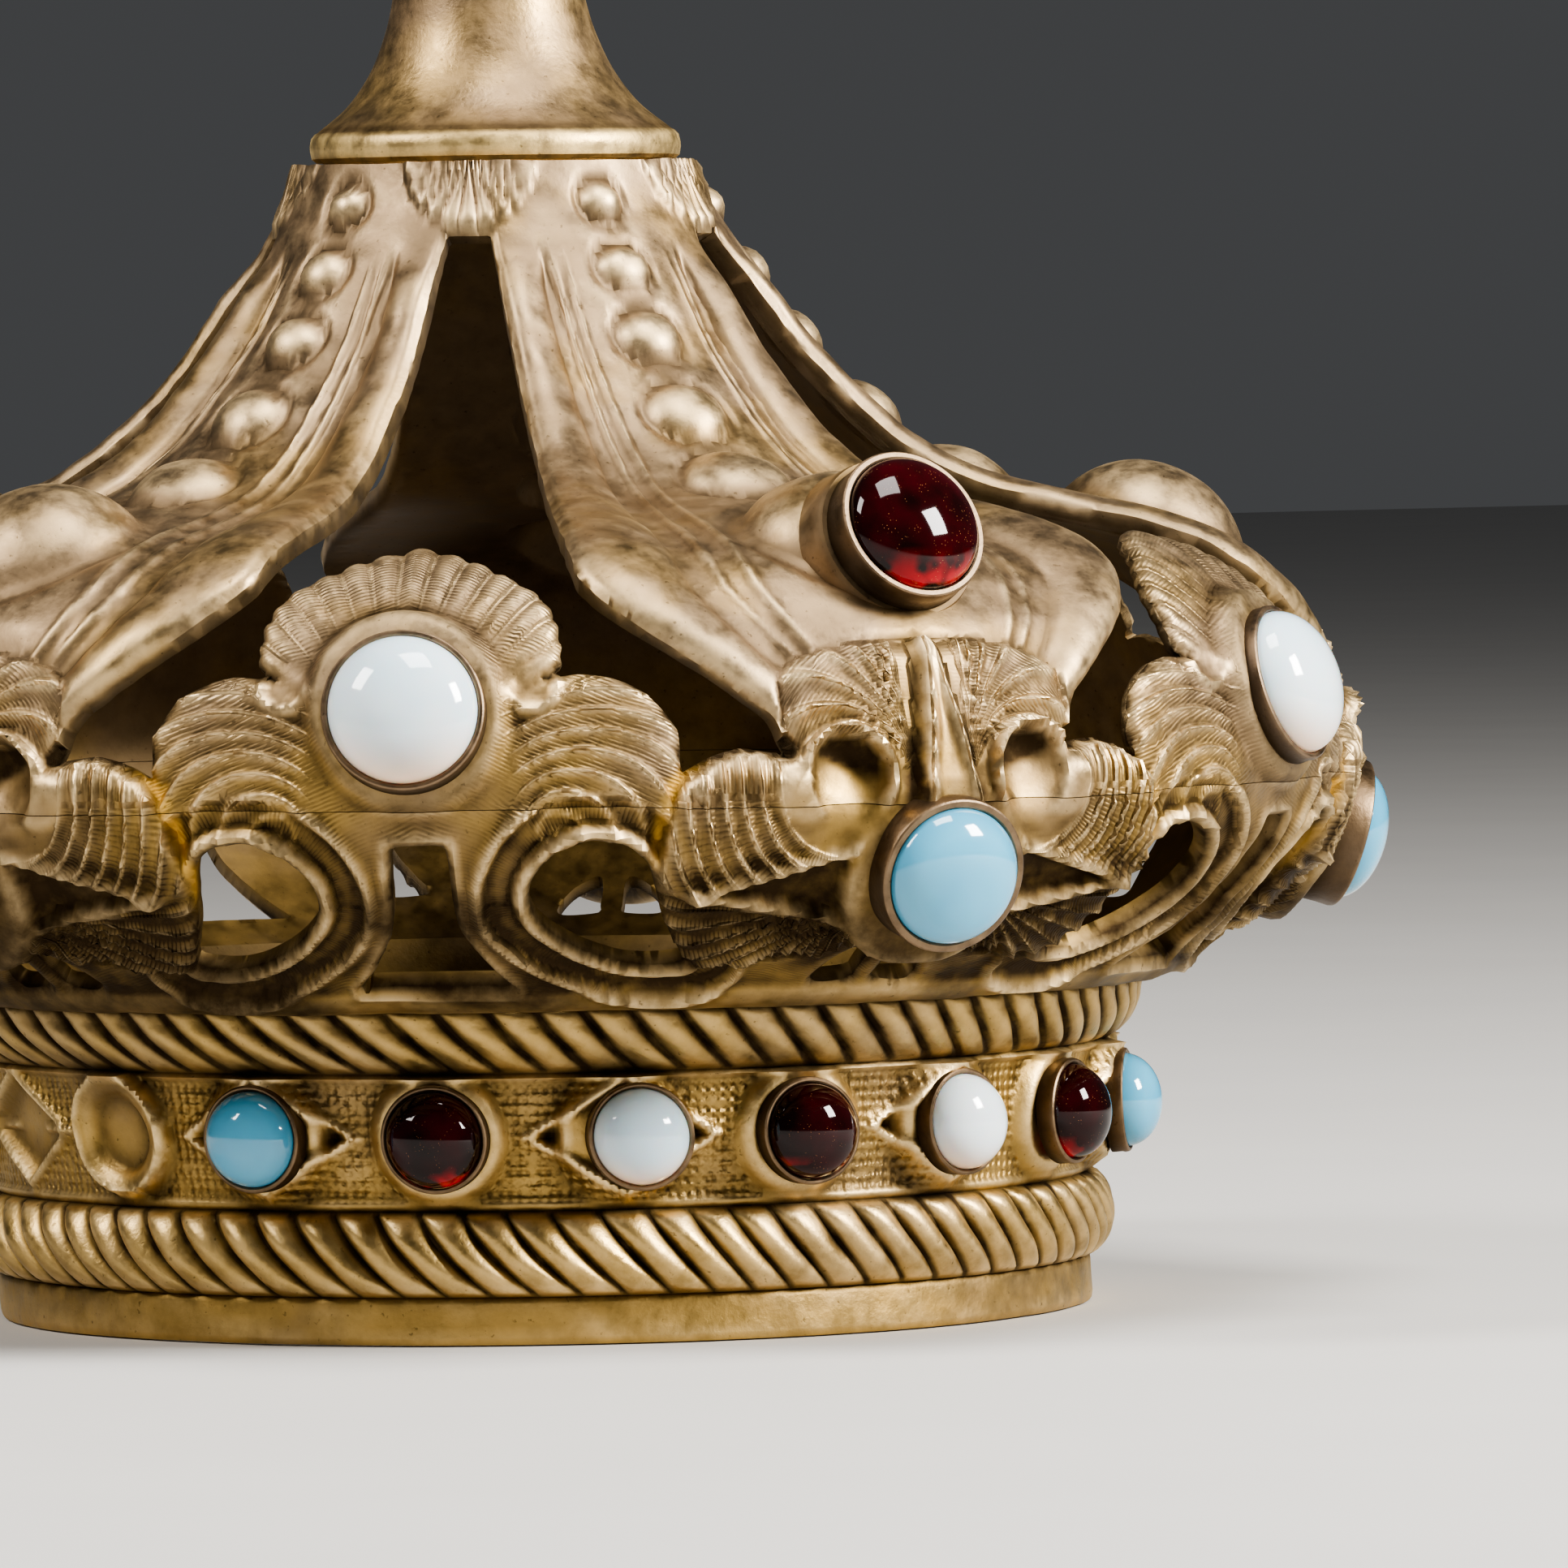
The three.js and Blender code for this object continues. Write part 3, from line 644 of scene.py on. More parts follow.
def move_onto_edge(s, depth_of):
    """Slides the points nearest an outline onto it; returns the depths and which moved."""
    first = depth_of(s)
    column = math.radians(360.0 / COLUMNS)
    depth, near = first, None
    for _ in range(3):
        per_row = np.gradient(depth, axis=0)
        per_column = (np.roll(depth, -1, 1) - np.roll(depth, 1, 1)) / 2
        if near is None:
            row_step, column_step, steep = per_row, per_column, per_row ** 2 + per_column ** 2
            near = (np.abs(depth) < 0.52 * (np.abs(per_row) + np.abs(per_column))) & (steep > 1e-8)
            tall = np.gradient(s.along, axis=0)
            upright = near.copy()
            upright[[0, -1]] = False
        sideways = np.where(near, depth * column_step / (steep + 1e-9), 0)
        s.angle = s.angle - sideways * math.degrees(column)
        s.along = s.along - np.where(upright, depth * row_step / (steep + 1e-9) * tall, 0)
        s.read()
        depth = depth_of(s)
    return np.where(near, 0.0, depth), near, first


print("the sheets are", SHEET, "mm thick")

# %% [markdown]
# The two sheets differ only in what was cut out of them. Above the seam it is the big
# openings between the arches, and below it five small holes in each repeat. A place is
# metal where it lies outside all of them, and a little roughness makes the edges uneven.

# %% Depth of metal left round every opening


def upper_depth(s):
    """How far inside the metal each place above the seam lies."""
    rough = 0.045 * uneven(s.px, s.py, s.z, 1.5)
    return -depth_inside(s.shell_x, s.y, ARCH_OPENING) + rough


def lower_depth(s):
    """The same below the seam."""
    rough = 0.03 * uneven(s.px, s.py, s.z, 1.5)
    parts = [depth_inside(s.shell_x, s.y, SCROLL_HOLE), depth_inside(s.shell_x, s.y, BELL_HOLE),
             depth_inside(s.leaf_x, s.y, STUB_HOLE)]
    return -np.maximum.reduce(parts) + rough


print("holes in each repeat: 1 above the seam and 5 below it")

# %% [markdown]
# Age is measured from the relief itself. A place that lies below the average of its
# neighbours is a hollow, where dirt stays; one that stands above them is rubbed bright. Low
# on the gallery, where the sheet faces down, and in rings round the cups of the shell and leaf
# stones, shade is painted into the same dark mask, and so is the shade in the leaf's eye.

# %% Dirt, painted shade and wear
OVERHANG_Z = (36, 28.5)              # below its widest place the sheet faces down


def dirt_shade_and_wear(s, height, rim, on_arch, smooth):
    """Shares of dirt with painted shade, and of rubbed metal; rim is the distance from a cut edge."""
    valley = softened(height, 4) - height
    wide_valley = softened(height, 14) - height
    dirt_and_shade = np.clip(2.2 * valley + 0.65 * wide_valley, 0, 1) * (1 - 0.75 * np.clip(smooth, 0, 1))
    # painted shade: the leaf eye's shaded part, where smooth is below 0, is added here
    dirt_and_shade = dirt_and_shade + 0.8 * np.clip(-smooth, 0, 1)
    # painted shade: darker, in clouds, on the sheet's downward face below its widest place
    patchy = np.clip(0.8 + 0.5 * uneven(s.px, s.py, s.z, 5), 0.3, 1)
    painted_shade = 0.85 * step_up(*OVERHANG_Z, s.z) * patchy
    # painted shadows: dark rings round the feet of the shell stones' and leaf stones' cups
    stone_far = np.hypot(s.shell_x, s.y - SEAT_SHELL[1])
    painted_shade = np.maximum(painted_shade, 0.6 * bump_at(stone_far - 5.7, 0.45))
    low_far = np.hypot(s.leaf_x, s.y - SEAT_LEAF[1])
    painted_shade = np.maximum(painted_shade, 0.6 * bump_at(low_far - 5.5, 0.6))
    dirt_and_shade = np.clip(dirt_and_shade * (1 - 0.45 * on_arch) + painted_shade, 0, 1)
    worn = np.clip(-2.6 * valley - 0.15 * wide_valley, 0, 1) * (1 - 0.25 * painted_shade)
    return dirt_and_shade, np.maximum(worn, 0.3 * bump_at(rim, 0.3))


def bright_outline(s, inside):
    """A line of brighter gilding that follows the side of the leaf."""
    beside = step_up(12.5, 14.5, s.leaf_x) * step_up(27.5, 30.5, s.z) * step_up(38.0, 36.5, s.z)
    patchy = np.clip(0.55 + 0.6 * uneven(s.px, s.py, s.z, 4), 0, 1)
    return bump_at(inside, 0.4) * beside * patchy


# between these heights painted shade is laid on the sheet's downward face
print("dirt thickens between", OVERHANG_Z, "mm of height")

# %% [markdown]
# Now the arch, the shell and the leaf are laid over each other on one strip, and front and
# back are joined into a closed sheet. The net is made very fine, so that every line of the
# relief is in it, and is then thinned where the surface is flat.

# %% The two struck sheets


def struck_sheet(name, strip, depth_of):
    """Lays the whole ornament on a strip and makes the closed sheet."""
    depth, snapped, before = move_onto_edge(strip, depth_of)
    arch, big = arch_relief(strip)
    leaf, shell = leaf_relief(strip), shell_relief(strip)
    # the arch shows above the leaf's top; the shell stands beside and below it
    on_arch = step_up(38.5, 39.5, strip.z) * (strip.leaf_x < arch_edge(strip) + 0.6)
    on_arch = np.maximum(on_arch, strip.z > 64)
    under = np.where(on_arch > 0.5, arch, shell["height"])
    height = under * (1 - leaf["share"]) + leaf["share"] * (leaf["height"] + 0.35)
    height = np.where(on_arch > 0.5, np.maximum(height, big + 0.25 * (big > 0)), height)
    # worn, slightly rounded edges
    rim = np.clip(depth, 0, None)
    height = height - 0.30 * bump_at(rim, 0.32)
    height = height + 0.05 * uneven(strip.px, strip.py, strip.z, 2.1)
    dirt_and_shade, worn = dirt_shade_and_wear(strip, height, rim, on_arch, leaf["smooth"])

    def chosen(key, on_the_arch):
        """The leaf's value on the leaf, the one given on the arch, and else the shell's."""
        return np.where(leaf["share"] > 0.5, leaf[key],
                        np.where(on_arch > 0.5, on_the_arch, shell[key]))

    values = {"dirt_and_shade": (dirt_and_shade, 0.35), "worn": (worn, 0.0), "hatch": (chosen("hatch", 0), 0.0),
              "run_a": (chosen("run", shell["run"]), 0.0), "run_b": (0 * height, 0.0),
              "gold_line": (bright_outline(strip, leaf["inside"]), 0.0),
              "flute": (chosen("phase", shell["phase"]), 0.0),
              "ridged": (chosen("ridged", 0), 0.0)}
    values = {key: (field.ravel(), rest) for key, (field, rest) in values.items()}
    turn = np.radians(strip.angle)

    def place(lift):
        """The net's points, lifted off the outline."""
        r, z = strip.r + strip.nr * lift, strip.z + strip.nz * lift
        return np.stack([r * np.sin(turn), -r * np.cos(turn), z], -1).reshape(-1, 3)

    back_lift = np.where(on_arch > 0.5, 0.92 * big, 0) - SHEET
    back_lift = np.minimum(back_lift, height - 0.35)
    # a face that lies wholly on the edge counts only if its middle was metal before
    faces = cut_faces((depth > 0) | snapped, np.where(snapped, 0.001 * before, 1.0))
    return closed_sheet(name, place(height), place(back_lift), faces, values)


def thinned(piece, most):
    """Joins faces where the surface is flat until the piece has at most that many."""
    piece.data.calc_loop_triangles()
    count = len(piece.data.loop_triangles)
    if count > most:
        thin = piece.modifiers.new("thin", "DECIMATE")
        thin.ratio = most / count
        graph = bpy.context.evaluated_depsgraph_get()
        mesh = bpy.data.meshes.new_from_object(piece.evaluated_get(graph))
        piece.modifiers.clear()
        old, piece.data = piece.data, mesh
        bpy.data.meshes.remove(old)
        piece.data.name = piece.name
    print(piece.name, "faces:", count, "->", len(piece.data.polygons))
    return piece


LINE = 0.025             # half the width of the hairline between the two stampings
lower = struck_sheet("gallery_lower", Strip(0.02, SEAM - LINE, [(99, 0.36)]), lower_depth)
thinned(lower, 170000)
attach(lower, "root")
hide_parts("lower_gallery")
upper = struck_sheet("gallery_and_arches",
                     Strip(SEAM + LINE, LENGTHS[-1], [(SEAM + 21, 0.36), (999, 0.62)]), upper_depth)
thinned(upper, 195000)
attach(upper, "root")
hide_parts("upper_dome")

# %% [markdown]
# The frieze between the ropes has round bosses and pointed lozenges in turn, one every 18
# degrees. Both are drawn from simple distances: from a middle for the boss, and the sum of
# two slopes for the lozenge. Seven of them carry a stone and are flattened to seat it.

# %% The frieze
STEP = 18                            # degrees from one boss or lozenge to the next
FRIEZE_Z, FRIEZE_R = 13.4, 37.6
STONED = (-54, -36, -18, 0, 18, 36, 54)


def lozenge_depth(angle, mm_y):
    """1 in the middle of a lozenge and 0 on its outline; the angle is from its middle."""
    return 1 - (np.abs(angle * math.pi / 180 * FRIEZE_R) / 6.95 + np.abs(mm_y) / 4.25)


def frieze_relief(angle, z):
    """Height of the bosses and lozenges, and a mask of the ground between them."""
    item = (angle + STEP / 2) % STEP - STEP / 2
    index = np.round((angle - item) / STEP).astype(int) % 20
    mm_x, mm_y = item * math.pi / 180 * FRIEZE_R, z - FRIEZE_Z
    far = np.hypot(mm_x, mm_y)
    set_here = np.isin(index, [a // STEP % 20 for a in STONED])
    is_boss = index % 2 == 0
    bare = 0.95 * step_up(4.45, 3.9, far) - 1.75 * step_up(3.35, 1.2, far)
    bare = bare + 0.3 * bump_at(far - 3.75, 0.3)
    seated = 1.05 * step_up(4.9, 3.5, far)
    boss = np.where(set_here, seated, bare)
    diamond = lozenge_depth(item, mm_y)
    border = 0.5 * bump_at(diamond - 0.13, 0.11)
    spine = 0.45 * bump_at(mm_y, 0.28) * step_up(0.0, 0.2, diamond) * step_up(1.5, 3.0, np.abs(mm_x))
    lozenge = border - 0.55 * step_up(0.1, 0.5, diamond) + spine
    sunk = 0.75 * step_up(0.08, 0.35, diamond) * step_up(3.9, 4.6, far)
    lozenge = np.where(set_here, border - sunk + seated, lozenge)
    # a lozenge reaches into the next item's cell, so it is drawn from its own middle
    side = (angle - np.round((angle - STEP) / (2 * STEP)) * (2 * STEP) - STEP)
    tip = 0.5 * bump_at(lozenge_depth(side, mm_y) - 0.13, 0.11)
    frieze = np.where(is_boss, np.maximum(boss, tip * step_up(3.6, 4.4, far)), lozenge)
    ground = ~np.where(is_boss, far < 4.6, diamond > 0.02)
    return frieze, ground


print("bosses and lozenges:", 360 // STEP, "of which set with stones:", len(STONED))

# %% [markdown]
# The band was rolled or struck as a strip and bent round. The net here is sheared along the
# strands inside each rope, so that every strand keeps its crisp edge: a square net would
# need far more points to draw a slanting edge without steps.

# %% The band
STRANDS, PER_STRAND = 80, 12
BAND_TURN = -2.2
LOW_ROPE, HIGH_ROPE = (3.05, 8.6), (17.55, 21.75)
BAND_OUTLINE = [(36.3, 0), (36.3, 3.0), (36.2, 3.1), (36.5, 8.6), (36.55, 8.7), (37.95, 17.5),
                (38.0, 17.6), (39.2, 20.7), (40.1, 21.9)]


def rope_lift(z, low, high):
    """Half-round swelling of a rope between two heights."""
    middle, half = (low + high) / 2, (high - low) / 2
    return np.sqrt(np.clip(1 - ((z - middle) / half) ** 2, 0, 1))


def eased(down):
    """Turns an even share into one that grows faster towards 1, as a strand curls under."""
    return 0.6 * down + 0.4 * down ** 2


def band_rows():
    """Heights of the net's rows, closer together where the edges are sharp."""
    return np.concatenate([[0.0, 0.12, 0.5, 1.2, 2.0, 2.6, 2.95, 3.05], np.linspace(3.15, 8.6, 20),
                           np.linspace(8.8, 17.5, 30), np.linspace(17.7, 21.3, 15),
                           [21.5, 21.68, 21.75]])


def band_height():
    """Radius, turn, and finish values of the band's outer face on its net."""
    z = band_rows()[:, None] + np.zeros((1, STRANDS * PER_STRAND))
    down_low = 1 - (np.clip(z, 3.05, 8.6) - 3.05) / 5.55
    down_high = 1 - (np.clip(z, 17.6, 21.9) - 17.6) / 4.3
    lean = -7.0 * eased(down_low) - 6.0 * eased(down_high)
    base = np.arange(STRANDS * PER_STRAND)[None, :] * (360.0 / (STRANDS * PER_STRAND))
    angle = base - lean
    turn = np.radians(angle)
    x, y = 37 * np.sin(turn), -37 * np.cos(turn)
    r = np.interp(z, [h for _, h in BAND_OUTLINE], [radius for radius, _ in BAND_OUTLINE])
    strand = base / 360 * STRANDS + 0.12 * uneven(x, y, z, 9)
    across = (strand % 1) ** 0.85
    round_strand = np.sin(np.pi * across) ** 0.7
    low_rope, high_rope = rope_lift(z, *LOW_ROPE), rope_lift(z, *HIGH_ROPE)
    swell = 0.42 + 0.58 * round_strand
    lift = 1.75 * low_rope * swell + 1.45 * high_rope * swell
    valley = np.clip(1 - round_strand * 1.5, 0, 1) * step_up(0.1, 0.5, low_rope + high_rope)
    frieze, ground = frieze_relief(angle, z)
    in_frieze = step_up(8.6, 9.0, z) * step_up(17.6, 17.2, z)
    ledge = 0.35 * bump_at(z - 8.95, 0.22) + 0.35 * bump_at(z - 17.25, 0.22)
    pips = in_frieze * ground * step_up(9.1, 9.5, z) * step_up(17.0, 16.7, z)
    dent = 0.10 * uneven(x, y, z * 2, 9) + 0.05 * uneven(x, y, z, 2.5)
    lip = -0.15 * bump_at(z, 0.15) - 0.12 * bump_at(z - 3.05, 0.12)
    height = lift + frieze * in_frieze + ledge + dent + lip
    foot_wave = 0.10 * uneven(x, y, 0 * z, 14) * step_up(3.2, 2.0, z) * step_up(0.0, 1.0, z)
    return r + height, z + foot_wave, angle + BAND_TURN, height, valley, pips


def make_band():
    """The band's outer face joined to a plain inner one."""
    r, z, angle, height, valley, pips = band_height()
    wide = softened(height, 9) - height
    # painted shade: the upper rope under the gallery's overhang is darkened and rubbed less; the
    # grooves between strands are darkened for dirt and painted shade
    dirt_and_shade = np.clip(1.4 * valley + 1.5 * wide + 0.55 * step_up(16.9, 18.6, z), 0, 1)
    worn = np.clip(-4.5 * (softened(height, 3) - height), 0, 1)
    worn = worn * (1 - 0.45 * step_up(16.9, 18.6, z))
    # a narrow upstand of solder inside the gallery's foot closes the joint
    inner_z = np.array([21.75, 22.7, 22.75, 21.7, 18.0, 12.0, 6.0, 1.0, 0.0])
    inner_r = np.array([40.5, 40.4, 39.6, 39.0, 37.3, 36.3, 35.5, 35.3, 35.3])
    columns = r.shape[1]
    pad = np.zeros((len(inner_z), columns))
    r = np.vstack([r, inner_r[:, None] + pad])
    z = np.vstack([z, inner_z[:, None] + pad])
    angle = np.vstack([angle, angle[-1:] + pad])
    turn = np.radians(angle)
    points = np.stack([r * np.sin(turn), -r * np.cos(turn), z], -1).reshape(-1, 3)
    number = np.arange(r.size).reshape(r.shape)
    below, beside = np.roll(number, -1, axis=0), np.roll(number, -1, axis=1)
    quads = np.stack([number, beside, np.roll(beside, -1, axis=0), below], -1).reshape(-1, 4)

    def full(field, rest):
        """A value for the outer face, and a constant one for the inner."""
        return np.vstack([field, pad + rest]).ravel()

    values = {"dirt_and_shade": full(dirt_and_shade, 0.4), "worn": full(worn, 0.0), "hatch": full(pips, 0.0),
              "run_a": (angle * math.pi / 180 * 38.2).ravel(), "run_b": z.ravel(),
              "gold_line": full(0 * pips, 0.0)}
    return write_mesh("roped_band", points, [quads], values, 50)


band = make_band()
thinned(band, 150000)
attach(band, "root")
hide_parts("base_band")

# %% [markdown]
# Round work, such as the spun finial, the cups and the stones, is turned: a section is
# spun round an axis. Blender's Screw modifier could do it, but then the masks for dirt and
# wear would have to be made afterwards, and `turned` writes them with the points. `facing`
# gives the place and tilt of a cup.

# %% Turned pieces


def turned(name, section, sides, place=None, values=None, smooth_angle=35):
    """Spins a closed section of (radius, height) round its own axis."""
    section = np.array(section, float)
    turn = np.linspace(0, 2 * math.pi, sides, endpoint=False)[:, None]
    on_axis = section[:, 0] < 1e-6
    r, z = section[:, 0][None, :], section[:, 1][None, :] + 0 * turn
    grid = np.stack([r * np.cos(turn), r * np.sin(turn), z], -1)
    number = np.arange(sides * len(section)).reshape(sides, -1)
    number[:, on_axis] = number[0, on_axis]
    beside = np.roll(number, -1, axis=0)
    nxt, nxt_beside = np.roll(number, -1, axis=1), np.roll(beside, -1, axis=1)
    cells = np.stack([number, beside, nxt_beside, nxt], -1)
    closed = ~(on_axis & np.roll(on_axis, -1))
    cells = cells[:, closed].reshape(-1, 4)
    quads = cells[(cells[:, 0] != cells[:, 1]) & (cells[:, 2] != cells[:, 3])]
    top = cells[(cells[:, 0] == cells[:, 1])][:, [0, 2, 3]]
    bottom = cells[(cells[:, 2] == cells[:, 3])][:, [0, 1, 2]]
    points = grid.reshape(-1, 3)
    used = np.unique(np.concatenate([quads.ravel(), top.ravel(), bottom.ravel()]))
    order = np.full(len(points), -1)
    order[used] = np.arange(len(used))
    local = points[used]
    moved = local if place is None else local @ place[0].T + place[1]
    fields = {k: v(local, moved) for k, v in (values or {}).items()}
    return write_mesh(name, moved, [order[quads], order[top], order[bottom]], fields, smooth_angle)


def facing(angle, radius, z, tilt):
    """Turning matrix and place of a piece whose axis points out and up by the tilt."""
    a, t = math.radians(angle), math.radians(tilt)
    across = np.array([math.cos(a), math.sin(a), 0])
    out = np.array([math.sin(a) * math.cos(t), -math.cos(a) * math.cos(t), math.sin(t)])
    up = np.cross(out, across)
    return np.stack([across, up, out], axis=1), np.array(
        [radius * math.sin(a), -radius * math.cos(a), z])


print("a leaf stone's cup points", facing(0, 1, 0, -17)[0][:, 2].round(2).tolist())

# %% [markdown]
# The finial is spun from sheet: a trumpet on a bright rim. Only its foot is sure, so above
# that the trumpet simply goes on narrowing to a ring and a plain ball. One closed outline,
# turned round the axis, makes all of it, with the hollow inside.

# %% The finial
FOOT_Z = 76.1
horn = smooth_line([(11.75, 78.1), (9.7, 79.8), (8.15, 81.9), (7.15, 84.1), (6.5, 86.3),
                    (5.7, 90.5), (4.9, 96.0), (4.3, 101.5), (3.9, 106.6)], 8)
rim = [(11.5, FOOT_Z), (11.9, FOOT_Z), (12.2, FOOT_Z + 0.25), (12.3, 76.9), (12.3, 77.2),
       (12.2, 77.7), (11.95, 78.0)]
ring = smooth_line([(3.95, 106.9), (4.9, 107.1), (5.75, 107.7), (5.8, 108.35), (5.75, 109.0),
                    (4.9, 109.6), (3.7, 109.9)], 4)
ball_turn = np.radians(np.linspace(-52, 90, 22))
ball = [(6.2 * math.cos(a), 115.5 + 6.2 * math.sin(a)) for a in ball_turn]
ball[-1] = (0.0, 121.7)
# below the rim a short spigot stands in the collar and closes the joint
inside = [(0.0, 99.0), (2.6, 97.0), (4.6, 90.0), (6.2, 83.2), (8.6, 79.6), (10.6, 77.9), (10.8, 77.2),
          (10.8, 74.6), (11.45, 74.6), (11.45, FOOT_Z - 0.05)]
finial = turned("finial_trumpet", [*rim, *horn.tolist(), *ring.tolist(), *ball, *inside], 128,
                values={"dirt_and_shade": lambda l, m: bump_at(l[:, 2] - 78.2, 0.45) * 0.8
                        + bump_at(l[:, 2] - 110.2, 0.5),
                        "worn": lambda l, m: step_up(78.15, 77.9, l[:, 2])})
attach(finial, "root")
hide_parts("finial")
print("the finial's faces:", len(finial.data.polygons))

# %% [markdown]
# Every stone sits in a little cup of thin brass soldered to the sheet, its rim pressed over
# the glass. The five cups on the leaves are deep and lean down with the gallery; those on
# the shells are shallow and lean up. The stones are domed glass, polished all over.

# %% Cups and stones
CUPS = {  # glass radius, dome height, cup depth, width of the cup's wall
    "turquoise": (4.5, 2.5, 2.7, 0.62),
    "opal": (4.75, 3.0, 1.3, 0.45),
    "garnet": (4.5, 2.4, 2.2, 0.55)}
SMALL = (3.1, 2.4, 1.2, 0.38)
FLOAT = 0.3              # the stone's back stands this far off the foot of its cup


def cup_section(glass, depth, wall):
    """Outline of a cup: up the outside, over the pressed rim, down the inside."""
    outer, inner = glass + wall, glass + 0.08
    return [(outer, 0), (outer, 0.15), (outer - 0.04, depth * 0.55), (outer, depth - 0.3),
            (outer - 0.05, depth - 0.08), (outer - 0.15, depth), (inner + 0.05, depth),
            (inner - 0.06, depth - 0.08), (inner - 0.06, depth - 0.28), (inner, depth - 0.5),
            (inner, 0)]


def stone_section(glass, dome, depth):
    """Outline of a stone: a flat back and a round dome that stands over the cup."""
    rise = depth - 0.35
    turn = np.linspace(0, math.pi / 2, 17)
    top = [(glass * math.cos(a), rise + (dome + 0.15) * math.sin(a) ** 0.95) for a in turn]
    top[-1] = (0.0, rise + dome + 0.15)
    return [(0.0, FLOAT), (glass * 0.9, FLOAT), (glass, FLOAT + 0.2), *top]


def set_stone(spot_name, glass_name, sizes, place):
    """Makes a cup and its stone at a place."""
    glass, dome, depth, wall = sizes
    cup = turned("setting_" + spot_name, cup_section(glass, depth, wall), 72, place,
                 {"dirt_and_shade": lambda l, m: np.clip(1.2 * bump_at(l[:, 2], 0.5), 0, 1),
                  "worn": lambda l, m: 0.7 * bump_at(l[:, 2] - depth, 0.25)})
    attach(cup, "root")
    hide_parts("cup_" + spot_name)
    low_side = {"low_side": lambda l, m: np.clip(-(m[:, 2] - place[1][2] - place[0][2, 2] * l[:, 2])
                                                 / glass, -1, 1),
                "from_middle": lambda l, m: np.hypot(l[:, 0], l[:, 1]) / glass}
    stone = turned("stone_" + spot_name, stone_section(glass, dome, depth), 72, place, low_side, 60)
    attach(stone, "root")
    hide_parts(glass_name + "_" + spot_name)
    return cup, stone


cups, stones = [], {"turquoise": [], "opal": [], "garnet": []}


def keep(glass_name, made):
    """Remembers a cup and its stone for the finishes."""
    cups.append(made[0])
    stones[glass_name].append(made[1])


for i in range(5):
    keep("turquoise", set_stone(f"leaf{i}", "turquoise", CUPS["turquoise"],
                                facing(72 * i, 53.8, 30.9, -17)))
    keep("opal", set_stone(f"shell{i}", "opal", CUPS["opal"], facing(72 * i + 36, 54.3, 41.0, 15)))
ARCH_STONE_RISE = 24     # degrees above the level
ARCH_REACH = BOSS_BALL + 0.6
ARCH_STONE_TURN = 1.1    # the front arch's stone was set a little to the right
rise = math.radians(ARCH_STONE_RISE)
arch_place = facing(ARCH_STONE_TURN, BOSS_R + ARCH_REACH * math.cos(rise),
                    BOSS_Z + ARCH_REACH * math.sin(rise), ARCH_STONE_RISE)
keep("garnet", set_stone("arch", "garnet", CUPS["garnet"], arch_place))
BAND_STONES = ["turquoise", "garnet", "opal", "garnet", "opal", "garnet", "turquoise"]
BAND_STONE_SHIFTS = (0, 0, 1.3, 0, 0, 0, 0)      # degrees; one was set off its place
BAND_STONE_R = 38.45
for i, (angle, glass_name, shift) in enumerate(zip(STONED, BAND_STONES, BAND_STONE_SHIFTS)):
    keep(glass_name, set_stone(f"band{i}", glass_name, SMALL,
                               facing(angle + BAND_TURN + shift, BAND_STONE_R, FRIEZE_Z, 0)))
print("stones set:", {k: len(v) for k, v in stones.items()})

# %% [markdown]
# The red stone of the front arch stands out of the big boss, so a flared seat, struck out
# of the same sheet, carries its cup. It is turned like the cups, and as a part of the sheet
# it has the sheet's finish and rides with it.

# %% The front stone's seat
seat_line = smooth_line([(6.9, -5.2), (6.1, -3.6), (5.7, -2.0), (5.5, -0.6), (5.35, -0.06)], 6)
seat_fields = {key: lambda l, m: 0 * l[:, 0]
               for key in ("worn", "hatch", "run_a", "run_b", "gold_line", "flute", "ridged")}
seat_fields["dirt_and_shade"] = lambda l, m: 0.5 * bump_at(l[:, 2], 0.6)
seat = turned("arch_stone_seat", [*seat_line.tolist(), (4.0, -0.06), (4.0, -5.2)], 72,
              arch_place, seat_fields)
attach(seat, "root")
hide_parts("upper_dome")
print("the seat's faces:", len(seat.data.polygons))

# %% [markdown]
# Finishes. Old gilding is never one colour: it is warm where hands have not rubbed it, dull
# brown-grey where it has tarnished, dark in the hollows and pale on the high places. Such
# effects are used by several pieces, so each will be a node group with named inputs. A few
# helpers come first: they add a node, link it, and put the common sums into one line.

# %% Helpers for shader nodes


def add(tree, kind, **settings):
    """A node with some of its properties or inputs set."""
    node = tree.nodes.new(kind)
    for key, value in settings.items():
        if hasattr(node, key):
            setattr(node, key, value)
        else:
            node.inputs[key.replace("_", " ")].default_value = value
    return node


def join(tree, source, target):
    """A link from an output to an input."""
    tree.links.new(source, target)


def sum_of(tree, a, b, kind="MULTIPLY", clamp=False):
    """A maths node; a and b are sockets or numbers."""
    node = tree.nodes.new("ShaderNodeMath")
    node.operation = kind
    node.use_clamp = clamp
    for socket, value in zip(node.inputs, (a, b)):
        if isinstance(value, (int, float)):
            socket.default_value = value
        elif value is not None:
            tree.links.new(value, socket)
    return node.outputs[0]


def blend_colour(tree, share, first, second, kind="MIX"):
    """A colour mixed from two sockets or colours by a share."""
    node = tree.nodes.new("ShaderNodeMix")
    node.data_type = "RGBA"
    node.blend_type = kind
    node.clamp_factor = True
    for socket, value in ((node.inputs[0], share), (node.inputs[6], first), (node.inputs[7], second)):
        if isinstance(value, (int, float)):
            socket.default_value = value
        elif isinstance(value, tuple):
            socket.default_value = (*value, 1)
        else:
            tree.links.new(value, socket)
    return node.outputs[2]


def spread(tree, value, low, high, out_low=0.0, out_high=1.0):
    """Maps a range of values to another, held at the ends."""
    node = tree.nodes.new("ShaderNodeMapRange")
    tree.links.new(value, node.inputs[0])
    for i, number in enumerate((low, high, out_low, out_high), 1):
        node.inputs[i].default_value = number
    return node.outputs[0]


